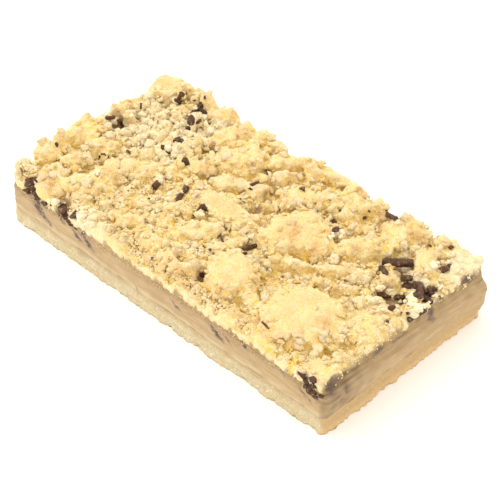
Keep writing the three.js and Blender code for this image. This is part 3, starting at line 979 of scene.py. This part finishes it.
def cut_shade(co):
    """Painted shade on the cut faces at each vertex: how much darker they are near their tops and
    the near corner.
    """
    x, y, z = co.astype(float).T
    uneven = 0.75 + 0.35 * ripple(0.8 * y, 1.6 * z)
    right = even_steps(60.6, 61.6, x) * uneven * (
        0.05 + 0.18 * even_steps(9.5, 12.0, z) + 0.16 * even_steps(14.0, 16.0, z)
        + 0.38 * even_steps(8.0, 27.0, -y))
    front = 0.09 * even_steps(30.8, 31.6, -y) * even_steps(9.0, 11.5, z) * even_steps(-25.0, 5.0, x)
    return np.maximum(right, front * (0.75 + 0.35 * ripple(0.4 * x, 1.6 * z)))


def lip(y):
    """Height of the torn lip of filling on the right cut face."""
    return 11.4 + 0.9 * math.sin(y * 0.11 + 0.4) + 0.5 * noise.noise(Vector((y * 0.3, 0, 0)))


class SLICE_OT_filling(Operator):
    """Build the filling, cut smooth, with drag marks, a torn lip and smeared chocolate"""

    bl_idname = "slice.filling"
    bl_label = "Filling"

    def execute(self, context):
        noise.seed_set(sizes().seed)
        bottom = BASE_BOX[1].z + 0.05 * MM
        bm = cut_block(bottom, CRUMBLE_BOX[0].z + 0.5 * MM, sizes().wall_pitch)
        for vert in bm.verts:
            out = outward(vert.co)
            if out is None:
                continue
            co = vert.co / MM
            stretched = Vector((co.x * 0.12, co.y * 0.12, co.z * 0.9))
            swell = 0.3 * noise.noise(co * 0.12 + Vector((3, 0, 0)))
            swell += 0.16 * noise.noise(stretched + 0.5 * noise.noise_vector(co * 0.15))
            swell += 0.06 * noise.noise(stretched * 3)
            sandy = smoothstep(11.0, 13.0, co.z + noise.noise(co * 0.4))
            if out.x < 0.7:
                swell += sandy * 0.35 * (0.3 - noise.voronoi(co / 1.2)[0][0] ** 2)
            swell -= 0.3 * smoothstep(12.6, 13.4, co.z)
            if out.x > 0.7 and abs(co.y) < 31:
                above = co.z - lip(co.y)
                swell += 0.4 * smoothstep(-1.6, -0.1, above) - 0.75 * smoothstep(-0.1, 0.35, above)
            vert.co += out * (swell + corner_bulge(co)) * MM
        piece = finished("cream_filling", bm, filling_material(), ["filling"])
        co = positions(piece.data) / MM
        thin, thick = smear_masks(co)
        write_attribute(piece.data, "smear", thin)
        # dark: thick chocolate smears, and painted shade on the cut faces, both mixed toward
        # chocolate colour.
        write_attribute(piece.data, "dark", np.maximum(thick, cut_shade(co)))
        level = co[:, 2] + wander(co, 0.4)
        right = even_steps(60.6, 61.6, co[:, 0])
        pale = (0.55 - 0.4 * right) * (1 - even_steps(5.6, 8.2, level))
        write_attribute(piece.data, "pale", pale)
        write_attribute(piece.data, "sandy", even_steps(11.0, 13.0, level) * (1 - 0.8 * right))
        return {"FINISHED"}


def bed_height(x, y):
    """Height of the crumble bed at a point, in millimetres, before its knobs."""
    level = sizes().bed_level / MM - 1.6 * in_fine_field(x, y)
    front = 13.6 + 0.5 * math.sin(0.7 * x + math.sin(0.23 * x)) + 1.1 * (y + HALF_WIDTH)
    back = 17.2 + 0.8 * (HALF_WIDTH - y)
    left = 17.4 + 0.8 * (x + HALF_LENGTH)
    right = 17.4 + 0.3 * (HALF_LENGTH - x)
    return min(level, front, back, left, right) - 1.8 * bare_share(x, y)


def ripple(x, y):
    """An uneven number from -1 to 1 that wanders over the plan, for a point or many."""
    return np.sin(1.1 * x + 0.7 * y + 2 * np.sin(0.31 * y)) * np.cos(0.9 * y - 0.5 * x + 1.5)


def bare_share(x, y):
    """How much the filling shows at a point, from 0 to 1."""
    shown = 0 * x
    for cx, cy, radius in BARE:
        away = np.hypot(x - cx, y - cy) / radius + 0.22 * ripple(x, y)
        shown = np.maximum(shown, 1 - even_steps(0.6, 1.0, away))
    return shown


def smooth_share(x, y):
    """How smooth the crumble is at a point: the middle of a lump that isn't knobbly."""
    smoothest = 0 * x
    for cx, cy, half_length, half_width, _, _, turn, knobbly in LUMPS:
        a = math.radians(turn)
        along = (x - cx) * math.cos(a) + (y - cy) * math.sin(a)
        across = (y - cy) * math.cos(a) - (x - cx) * math.sin(a)
        away = np.hypot(along / half_length, across / half_width)
        smoothest = np.maximum(smoothest, (1 - knobbly) * (1 - even_steps(0.55, 0.95, away)))
    return smoothest


def wall_share(x, y, z):
    """Whether a point is on a cut wall of the crumble, from 0 to 1."""
    right = even_steps(60.4, 61.2, x) * (1 - even_steps(15.4, 19.4, z + 0.8 * ripple(1.5 * y, z)))
    low = 1 - even_steps(13.4, 14.6, z + ripple(1.5 * x, z) + ripple(0.4 * x, 0.5))
    others = np.maximum(even_steps(31.0, 31.6, abs(y)), even_steps(61.0, 61.8, -x)) * low
    return np.maximum(right, others)


def in_fine_field(x, y):
    """Whether a point is in the far left part, where the crumbs are fine and loose."""
    return -58 < x < -31 and 2 < y < 29 and x + 1.2 * y > -54 and not (x > -38 and y < 6)


# Number of extra knobs tried along the front edge.
FRONT_KNOBS = 420
# Number of cells of the bed's grid, along and across.
BED_CELLS = 160, 82


def bed_mesh():
    """The bed as a closed grid."""
    half_x, half_y = 62.2 * MM, 31.9 * MM
    bm = bmesh.new()
    bmesh.ops.create_grid(bm, x_segments=BED_CELLS[0], y_segments=BED_CELLS[1], size=1)
    bmesh.ops.scale(bm, vec=(half_x, half_y, 1), verts=bm.verts)
    for vert in bm.verts:
        x, y = vert.co.x / MM, vert.co.y / MM
        relief = 0.6 * noise.noise(Vector((x * 0.3, y * 0.3, 0)))
        vert.co.z = (bed_height(x, y) + relief) * MM
    verts, rim = grown(bm, [e for e in bm.edges if e.is_boundary])
    for vert in verts:
        vert.co.z = BED_FLOOR - 1 * MM
    bmesh.ops.contextual_create(bm, geom=rim)
    bmesh.ops.recalc_face_normals(bm, faces=bm.faces)
    return as_mesh("bed", bm)


def lump_mesh(row, rng):
    """One lump, an uneven dome that widens a little at its foot."""
    x, y, half_length, half_width, dome, middle, turn, knobbly = row
    bm = bmesh.new()
    bmesh.ops.create_icosphere(bm, subdivisions=5 if half_length > 5 else 4, radius=1)
    seed = Vector([rng.uniform(-90, 90) for _ in range(3)])
    spin = Matrix.Rotation(math.radians(turn), 3, "Z")
    sunk = max(3.0, middle - 13.0)
    for vert in bm.verts:
        n = vert.co.copy()
        shape = 1 + 0.24 * noise.noise(n * 1.3 + seed) + 0.14 * noise.noise(n * 3.1 - seed)
        shape += 0.14 * max(0.0, -n.z)
        point = spin @ Vector((half_length * n.x * shape, half_width * n.y * shape, 0))
        point.z = dome * n.z ** 0.75 if n.z > 0 else -sunk * abs(n.z) ** 0.6
        point.z *= 1 + 0.2 * noise.noise(n * 1.9 + seed * 2)
        vert.co = (point + Vector((x, y, middle))) * MM
    return as_mesh("lump", bm)


def cut_to_block(co):
    """Moves a point of the crumble that is outside the knife's cuts onto them."""
    half_x, half_y = 62.0 * MM, 31.9 * MM
    up = co.z / MM - 13
    right = 62.0 * MM - max(0.0, up) * 0.12 * MM
    co.x = min(right, max(-half_x - 0.6 * MM, co.x))
    co.y = min(half_y, max(-half_y, co.y))
    round_corner(co, half_x, half_y, 2.4 * MM)
    if co.x > 50 * MM and co.y > 20 * MM:
        co += Vector((0.71, 0.71, 0)) * corner_bulge(co / MM) * MM


def round_corner(co, half_x, half_y, radius):
    """Moves a point in a square corner to a round one."""
    x = max(0.0, abs(co.x) - half_x + radius)
    y = max(0.0, abs(co.y) - half_y + radius)
    reach = math.hypot(x, y)
    if reach > 0 and min(x, y) > 0:
        pull = 1 - max(x, y) / reach
        co.x -= math.copysign(x * pull, co.x)
        co.y -= math.copysign(y * pull, co.y)


class SLICE_OT_crumble(Operator):
    """Build the fused crumble: lumps and knobs sunk into a bed and baked into one mass"""

    bl_idname = "slice.crumble"
    bl_label = "Crumble"

    def execute(self, context):
        noise.seed_set(sizes().seed)
        rng = random.Random(sizes().seed)
        shapes = [bed_mesh()] + [lump_mesh(row, rng) for row in LUMPS]
        lumps = gather(shapes)
        relief = Relief([BVHTree.FromBMesh(lumps)])
        knobs = as_mesh("knobs", gather(self.knobs(relief, rng)))
        lumps.from_mesh(knobs)
        discard([knobs])
        for vert in lumps.verts:
            cut_to_block(vert.co)
        piece = finished("crumble_mass", lumps, crumble_material(), ["crumble"])
        self.fuse(context, piece)
        self.roughen(piece.data)
        return {"FINISHED"}

    def knobs(self, relief, rng):
        """Knobs all over the bed and round the lumps, sunk by more than half."""
        templates = crumb_templates(rng, 2, 16, 0.75)
        made = []

        def sink(x, y, radius, depth):
            place = Vector((x * MM, y * MM, relief.at(x * MM, y * MM) - depth * MM))
            made.append(blob(rng.choice(templates), rng, place, radius * MM, 0.95))

        step = sizes().knob_step / MM
        for i in range(int(2 * HALF_LENGTH / step)):
            for j in range(int(2 * HALF_WIDTH / step)):
                x = -62.0 + (i + rng.uniform(0, 1)) * step
                y = -31.8 + (j + rng.uniform(0, 1)) * step
                plain = 1.3 * smooth_share(x, y) + bare_share(x, y) + 0.6 * in_fine_field(x, y)
                if rng.random() < plain:
                    continue
                radius = rng.uniform(0.65, 1.2) + 1.0 * rng.random() ** 2.5
                sink(x, y, radius, radius * rng.uniform(-0.1, 0.8))
        for _ in range(FRONT_KNOBS):
            x, y = rng.uniform(-61, 61), -31.6 + 3.6 * rng.random() ** 1.5
            radius = rng.uniform(0.5, 1.1)
            if rng.random() < smooth_share(x, y):
                continue
            sink(x, y, radius, -rng.uniform(-0.6, 0.3) * radius)
        discard(templates)
        return made

    def fuse(self, context, piece):
        """Melts the shapes into one surface and closes it underneath."""
        context.view_layer.objects.active = piece
        remesh = piece.modifiers.new("Fuse", "REMESH")
        remesh.mode = "VOXEL"
        remesh.voxel_size = sizes().bed_pitch
        piece.modifiers.new("Soften", "SMOOTH").factor = 0.5
        for modifier in list(piece.modifiers):
            bpy.ops.object.modifier_apply(modifier=modifier.name)
        bm = bmesh.new()
        bm.from_mesh(piece.data)
        cut = bmesh.ops.bisect_plane(
            bm, geom=bm.verts[:] + bm.edges[:] + bm.faces[:], plane_co=(0, 0, BED_FLOOR),
            plane_no=(0, 0, 1), clear_inner=True)
        rim = [g for g in cut["geom_cut"] if isinstance(g, bmesh.types.BMEdge)]
        bmesh.ops.contextual_create(bm, geom=rim)
        bmesh.ops.triangulate(bm, faces=bm.faces)
        bm.to_mesh(piece.data)
        bm.free()

    def roughen(self, mesh):
        """Raises small nodules all over the surface, fewer on the smooth tops."""
        normals = np.empty(len(mesh.vertices) * 3, np.float32)
        mesh.vertices.foreach_get("normal", normals)
        x, y, z = (positions(mesh) / MM).astype(float).T
        plain = 1 - smooth_share(x, y)
        free = (1 - 0.8 * wall_share(x, y, z)) * (z > 13.2)
        for vert, normal, rough, share in zip(mesh.vertices, normals.reshape(-1, 3), plain, free):
            if share == 0:
                continue
            co = vert.co / MM
            bent = co + 0.5 * noise.noise_vector(co * 0.8)
            nodule = 0.35 - noise.voronoi(bent / 2.3)[0][0] ** 2
            small = 0.3 - noise.voronoi(bent / 1.1)[0][0] ** 2
            swell = 0.85 * nodule * (0.15 + 0.85 * rough) + 0.3 * small * (0.5 + 0.5 * rough)
            vert.co += Vector(normal) * (swell + 0.12 * noise.noise(co * 1.4)) * share * MM
        mesh.update()


# Areas that crumbs settle in: lowest and highest x, lowest and highest y.
WHOLE = ((-61.6, 61.6), (-31.4, 31.4))
FIELD = ((-58, -31), (2, 29))
FRONT_RIM = ((-61, 61), (-31.8, -28.4))


class SLICE_OT_crumbs(Operator):
    """Settle crumbs and grains in the hollows between the lumps"""

    bl_idname = "slice.crumbs"
    bl_label = "Crumbs and Grains"

    def execute(self, context):
        s = sizes()
        rng = random.Random(s.seed + 1)
        relief = Relief(surfaces(CRUMBLE_PIECES[:1]))
        crumbs = crumb_templates(rng, 2, 20, 0.75)
        made = self.settle(relief, rng, crumbs, s.crumb_count, (0.65, 1.6), WHOLE)
        made += self.settle(relief, rng, crumbs, s.field_count, (0.95, 2.0), FIELD)
        made += self.settle(relief, rng, crumbs, s.stud_count, (0.55, 1.25), WHOLE, even=True)
        finished("crumble_crumbs", gather(made), crumble_material())
        grains = crumb_templates(rng, 1, 14, 0.4)
        made = self.settle(relief, rng, grains, s.grain_count, (0.25, 0.6), WHOLE)
        made += self.settle(relief, rng, grains, s.grain_count // 5, (0.3, 0.7), FRONT_RIM)
        made += self.stuck(rng, grains, s.grain_count // 4)
        made += self.settle(relief, rng, grains, s.dust_count, (0.14, 0.3), WHOLE, even=True)
        finished("crumble_grains", gather(made), crumble_material())
        discard(crumbs + grains)
        return {"FINISHED"}

    def stuck(self, rng, templates, count):
        """Grains pressed into the cut faces, low on the long sides and higher on the ends."""
        trees = surfaces(["crumble_mass", "cream_filling"])
        made = []
        while len(made) < count:
            x, y = rng.uniform(-61, 61), rng.uniform(-31, 31)
            if rng.random() < 0.75:
                turn = 1 if rng.random() < 0.75 else -1
                side, start, level = Vector((0, turn, 0)), Vector((x, -40 * turn, 0)), 13.2
            else:
                turn = rng.choice((-1, 1))
                side, start, level = Vector((turn, 0, 0)), Vector((-70 * turn, y, 0)), 16.8
            start.z = level + rng.gauss(0, 0.9)
            hits = [tree.ray_cast(start * MM, side) for tree in trees]
            hits = [hit for hit in hits if hit[0] is not None]
            if hits:
                place = min(hits, key=lambda hit: hit[3])[0]
                radius = rng.uniform(0.15, 0.38) * MM
                made.append(blob(rng.choice(templates), rng, place + side * 0.4 * radius, radius))
        return made

    def settle(self, relief, rng, templates, count, radii, area, even=False):
        """Drops crumbs one by one, each into the lower of two places, or evenly."""
        fine = radii[0] < 0.5
        flush = 0.3 if even or fine else 0.05
        kept_off = 0 if even and fine else 0.97
        made = []
        while len(made) < count:
            spots = []
            for _ in range(2):
                x, y = rng.uniform(*area[0]), rng.uniform(*area[1])
                spots.append((relief.at(x * MM, y * MM) / MM + rng.uniform(0, 1.2), x, y))
            _, x, y = spots[0] if even else min(spots)
            if in_fine_field(x, y) != (area is FIELD) and radii[0] > 0.5:
                continue
            if rng.random() < kept_off * smooth_share(x, y) + 0.8 * bare_share(x, y):
                continue
            radius = radii[0] + (radii[1] - radii[0]) * rng.random() ** 1.6
            x = min(62.2 - radius, max(radius - 62.4, x))
            y = min(31.9 - radius, max(radius - 31.9, y))
            place = Vector((x, y, 0)) * MM
            place.z = relief.around(x * MM, y * MM, 0.6 * radius * MM)
            place.z -= (rng.uniform(-0.55, 0.35) + flush) * radius * MM
            made.append(blob(rng.choice(templates), rng, place, radius * MM))
            relief.stamp(place.x, place.y, place.z, radius * MM)
        return made


class SLICE_OT_floury(Operator):
    """Lay pale floury crumbs where the crumble stayed dry"""

    bl_idname = "slice.floury"
    bl_label = "Floury Crumbs"

    def execute(self, context):
        rng = random.Random(sizes().seed + 2)
        landing = Landing(CRUMBLE_PIECES)
        templates = crumb_templates(rng, 2, 8, 0.5)
        made = []
        for x, y, radius in FLOURY:
            place, _ = landing.find(x, y)
            for _ in range(7):
                part = radius * rng.uniform(0.35, 0.7)
                jitter = Vector([rng.gauss(0, 0.42 * radius) for _ in range(3)]) * MM
                jitter.z = abs(jitter.z) * 0.6
                made.append(blob(rng.choice(templates), rng, place + jitter, part * MM))
        finished("floury_crumbs", gather(made), crumble_material())
        discard(templates)
        return {"FINISHED"}


# ---------------------------------------------------------------- chocolate


def stick_mesh(start, end, thickness, rng):
    """A straight chocolate stick with rounded, slightly uneven ends."""
    bm = bmesh.new()
    along = end - start
    length = along.length
    bmesh.ops.create_cone(
        bm, cap_ends=True, segments=10, radius1=thickness / 2, radius2=thickness / 2, depth=length)
    rims = [e for e in bm.edges if len({round(v.co.z, 7) for v in e.verts}) == 1]
    bmesh.ops.bevel(
        bm, geom=rims, offset=thickness * 0.2, segments=2, profile=0.5, affect="EDGES", material=-1)
    sides = [e for e in bm.edges if abs(e.verts[0].co.z - e.verts[1].co.z) > 0.5 * length]
    bmesh.ops.subdivide_edges(bm, edges=sides, cuts=5)
    seed = Vector([rng.uniform(-50, 50) for _ in range(3)])
    for vert in bm.verts:
        swell = 1 + 0.14 * noise.noise(vert.co / MM * 0.9 + seed)
        vert.co.x *= swell
        vert.co.y *= swell
        vert.co.x += 0.06 * thickness * noise.noise(Vector((vert.co.z / MM * 0.5, 0, 0)) + seed)
    turn = along.to_track_quat("Z", "Y").to_matrix().to_4x4()
    bmesh.ops.transform(bm, matrix=Matrix.Translation((start + end) / 2) @ turn, verts=bm.verts)
    return as_mesh("stick", bm)


def chunk_mesh(place, half_length, half_width, turn, rng):
    """A broken chunk of chocolate, the hull of some points with its edges worn."""
    bm = bmesh.new()
    for _ in range(16):
        point = Vector([rng.gauss(0, 1) for _ in range(3)]).normalized()
        point = Vector([math.copysign(abs(v) ** 0.7, v) for v in point]) * rng.uniform(0.85, 1.15)
        bmesh.ops.create_vert(bm, co=point)
    hull = bmesh.ops.convex_hull(bm, input=bm.verts)
    inside = [g for g in hull["geom_interior"] if isinstance(g, bmesh.types.BMVert)]
    bmesh.ops.delete(bm, geom=inside, context="VERTS")
    size = Matrix.Diagonal((half_length, half_width, 0.8 * half_width, 1))
    spin = Matrix.Rotation(math.radians(turn), 4, "Z")
    tip = Euler((rng.uniform(-0.4, 0.4), rng.uniform(-0.4, 0.4), 0)).to_matrix().to_4x4()
    bmesh.ops.transform(bm, matrix=tip @ spin @ size, verts=bm.verts)
    bmesh.ops.bevel(
        bm, geom=bm.edges[:], offset=0.12 * half_width, segments=2, profile=0.5, affect="EDGES",
        material=-1)
    bmesh.ops.subdivide_edges(bm, edges=bm.edges[:], cuts=1)
    bmesh.ops.triangulate(bm, faces=bm.faces)
    seed = Vector([rng.uniform(-50, 50) for _ in range(3)])
    for vert in bm.verts:
        vert.co += vert.co.normalized() * 0.12 * noise.noise(vert.co / MM * 1.6 + seed) * MM
    bmesh.ops.translate(bm, vec=place, verts=bm.verts)
    return as_mesh("chunk", bm)


class SLICE_OT_chocolate(Operator):
    """Lay the chocolate sticks and chunks on and in the crumble"""

    bl_idname = "slice.chocolate"
    bl_label = "Chocolate"

    def execute(self, context):
        rng = random.Random(sizes().seed + 3)
        landing = Landing([*CRUMBLE_PIECES, "cream_filling"])
        sticks = []
        for x1, y1, x2, y2, thickness in STICKS:
            start, _ = landing.find(x1, y1)
            end, _ = landing.find(x2, y2)
            lift = Vector((0, 0, 0.2 * thickness * MM))
            sticks.append(stick_mesh(start + lift, end + lift, thickness * MM, rng))
        finished("chocolate_sticks", gather(sticks), chocolate_material())
        chunks = []
        for x, y, half_length, half_width, turn in CHUNKS:
            place, normal = landing.find(x, y)
            if abs(normal.z) < 0.5:
                place -= normal * 0.45 * half_width * MM
            else:
                place.z += 0.35 * half_width * MM
            chunks.append(chunk_mesh(place, half_length * MM, half_width * MM, turn, rng))
        finished("chocolate_chunks", gather(chunks), chocolate_material())
        return {"FINISHED"}


def cavity(mesh, rounds):
    """How deep each vertex lies under the surface smoothed over some rounds, in millimetres."""
    edges = np.empty(len(mesh.edges) * 2, np.int32)
    mesh.edges.foreach_get("vertices", edges)
    one, other = edges.reshape(-1, 2).T
    count = len(mesh.vertices)
    start = positions(mesh).astype(float)
    normals = np.empty(count * 3, np.float32)
    mesh.vertices.foreach_get("normal", normals)
    near = np.bincount(one, minlength=count) + np.bincount(other, minlength=count)
    moved = start
    for _ in range(rounds):
        moved = np.stack([
            np.bincount(one, moved[other, k], count) + np.bincount(other, moved[one, k], count)
            for k in range(3)], axis=1) / near[:, None]
    return ((moved - start) * normals.reshape(-1, 3)).sum(axis=1) / MM


# Corners of one crumb of each piece: an icosphere divided twice, or once for a grain.
CORNERS = {"crumble_crumbs": 42, "crumble_grains": 12, "floury_crumbs": 42}


def spots(rows, x, y, core, ragged=0.0):
    """How much round spots cover each point. A row is x, y, radius and, if it isn't 1, strength."""
    covered = np.zeros(len(x))
    for cx, cy, radius, *strength in rows:
        away = np.hypot(x - cx, y - cy) / radius + ragged
        covered = np.maximum(covered, math.prod(strength) * (1 - even_steps(core, 1.0, away)))
    return covered


class SLICE_OT_bake(Operator):
    """Mark the crevices with painted shade and bounced light, the ridges with painted light, and the
    browned spots and bare filling on the crumble, which its material reads
    """

    bl_idname = "slice.bake"
    bl_label = "Bake the Crumble"

    def execute(self, context):
        rng = np.random.default_rng(sizes().seed)
        relief = Relief(surfaces(CRUMBLE_PIECES))
        near, wide = relief.blurred(1.2 * MM), relief.blurred(3.0 * MM)
        for name in (*CRUMBLE_PIECES, "floury_crumbs"):
            mesh = bpy.data.objects[name].data
            fused = name == "crumble_mass"
            co = positions(mesh)
            x, y, z = (co / MM).astype(float).T
            below = 0.6 * relief.sample(near, co) + 0.4 * relief.sample(wide, co)
            below = below / MM - z
            # Crevice colour where a point lies below the surface around it: painted shade and
            # bounced light in the hollows.
            crevice_shade = 0.7 * even_steps(0.5, 3.0, below)
            tone_and_ridge_light = self.tones(name, len(co), rng)
            bare, wall = np.zeros(len(co)), np.zeros(len(co))
            if fused:
                depth = cavity(mesh, rounds=14)
                # On the fused mass, also in the small hollows of its surface: painted shade.
                crevice_shade = np.maximum(crevice_shade, 0.85 * even_steps(0.2, 0.9, depth))
                # The fused mass is paler on its ridges, painted light, and on the middles of smooth
                # lumps.
                tone_and_ridge_light = 0.15 + 0.6 * even_steps(0.0, 0.7, -depth) + 0.2 * smooth_share(x, y)
                bare, wall = bare_share(x, y), wall_share(x, y, z)
                thin, thick = smear_masks(co / MM)
                write_attribute(mesh, "smear", thin)
                # dark: thick chocolate smears, and painted shade on the cut walls, both mixed toward
                # chocolate colour.
                write_attribute(mesh, "dark", np.maximum(thick, wall * cut_shade(co / MM)))
            if name == "crumble_grains":
                bare = 0.75 * (1 - even_steps(13.0, 14.6, z))
            crevice_shade *= (1 - 0.8 * bare) * (1 - wall)
            crevice_shade *= 1 - 0.8 * even_steps(28.5, 31.0, abs(y))
            crevice_shade *= 1 - 0.8 * even_steps(59.0, 61.5, -x)
            # Listed pits take the crevice colour in full where they lie low: painted shade.
            golden = 0.95 * even_steps(-1.0, 0.5, below)
            crevice_shade = np.maximum(crevice_shade, golden * spots(GOLDEN_SHADE_PITS, x, y, 0.5))
            browned = np.maximum(0.28 * even_steps(-0.8, 0.8, -below),
                                 (0.8 if fused else 0.55) * even_steps(0.2, 2.2, -below))
            if fused:
                browned = np.maximum(browned, 0.65 * smooth_share(x, y))
            browned = np.maximum(browned, 0.55 * even_steps(25.0, 29.0, -y))
            browned = np.maximum(browned, spots(BROWNED, x, y, 0.2))
            browned *= 1 - even_steps(-0.6, 1.0, below)
            loose = (x > -59) & (x < -31) & (y > 1) & (y < 30) & (z < 19)
            floury = 0.5 * loose + (name == "floury_crumbs")
            floury = np.maximum(floury, spots(PALE, x, y, 0.4, 0.15 * ripple(x, y)))
            for key, values in (
                    ("crevice_shade", crevice_shade), ("browned", browned), ("bare", np.maximum(bare, wall)),
                    ("tone_and_ridge_light", np.minimum(1, tone_and_ridge_light)), ("floury", np.minimum(1, floury))):
                write_attribute(mesh, key, values)
        return {"FINISHED"}

    def tones(self, name, count, rng):
        """One paleness for each crumb, and a plain one for the fused mass."""
        corners = CORNERS.get(name)
        if corners is None:
            return np.zeros(count)
        return np.repeat(rng.random(count // corners), corners)


# ---------------------------------------------------------------- studio


class SLICE_OT_studio(Operator):
    """Set a plain pale floor, soft light and the camera"""

    bl_idname = "slice.studio"
    bl_label = "Studio"

    def execute(self, context):
        s = studio()
        scene = context.scene
        bm = bmesh.new()
        bmesh.ops.create_grid(bm, x_segments=1, y_segments=1, size=1.5)
        bmesh.ops.translate(bm, vec=(0, 0, -0.05 * MM), verts=bm.verts)
        mesh = as_mesh("floor", bm)
        floor = bpy.data.objects.new("floor", mesh)
        scene.collection.objects.link(floor)
        material = bpy.data.materials.new("Pale Floor")
        material.use_nodes = True
        shader = material.node_tree.nodes["Principled BSDF"]
        shader.inputs["Base Color"].default_value = (0.93, 0.93, 0.93, 1)
        shader.inputs["Roughness"].default_value = 0.9
        mesh.materials.append(material)

        world = bpy.data.worlds.new("Studio")
        world.use_nodes = True
        sky = world.node_tree.nodes["Background"]
        sky.inputs["Color"].default_value = (1, 0.955, 0.88, 1)
        sky.inputs["Strength"].default_value = s.fill_strength
        scene.world = world

        key = bpy.data.lights.new("Key", "AREA")
        key.energy = s.key_power
        key.size = 0.4
        lamp = bpy.data.objects.new("Key", key)
        lamp.location = (-0.44, -0.08, 0.62)
        lamp.rotation_euler = (-lamp.location).to_track_quat("-Z", "Y").to_euler()
        scene.collection.objects.link(lamp)

        eye, back = camera_place()
        camera = bpy.data.cameras.new("Camera")
        camera.lens = s.lens
        camera.sensor_width = 36
        camera.clip_start = 0.01
        holder = bpy.data.objects.new("Camera", camera)
        holder.location = eye
        holder.rotation_euler = (-back).to_track_quat("-Z", "Y").to_euler()
        scene.collection.objects.link(holder)
        scene.camera = holder
        scene.view_settings.view_transform = "Standard"
        return {"FINISHED"}


class SLICE_PT_panel(Panel):
    """Lists the steps, sizes and colours of the slice"""

    bl_idname = "SLICE_PT_panel"
    bl_label = "Crumble Slice"
    bl_space_type = "VIEW_3D"
    bl_region_type = "UI"
    bl_category = "Crumble Slice"

    def draw(self, context):
        for step in STEPS:
            self.layout.operator(step.bl_idname)
        for group in (sizes(), colours(), studio()):
            box = self.layout.box()
            for name in group.__annotations__:
                box.prop(group, name)


STEPS = (
    SLICE_OT_studio,
    SLICE_OT_base,
    SLICE_OT_filling,
    SLICE_OT_crumble,
    SLICE_OT_crumbs,
    SLICE_OT_floury,
    SLICE_OT_chocolate,
    SLICE_OT_bake,
)
GROUPS = {"slice_sizes": SliceSizes, "slice_colours": SliceColours, "slice_studio": StudioSettings}


def register():
    for cls in (*GROUPS.values(), *STEPS, SLICE_PT_panel):
        bpy.utils.register_class(cls)
    for name, group in GROUPS.items():
        setattr(bpy.types.Scene, name, PointerProperty(type=group))


def unregister():
    for name in GROUPS:
        delattr(bpy.types.Scene, name)
    for cls in reversed((*GROUPS.values(), *STEPS, SLICE_PT_panel)):
        bpy.utils.unregister_class(cls)


def main():
    register()
    for step in STEPS:
        group, name = step.bl_idname.split(".")
        getattr(getattr(bpy.ops, group), name)()


if __name__ == "__main__":
    main()
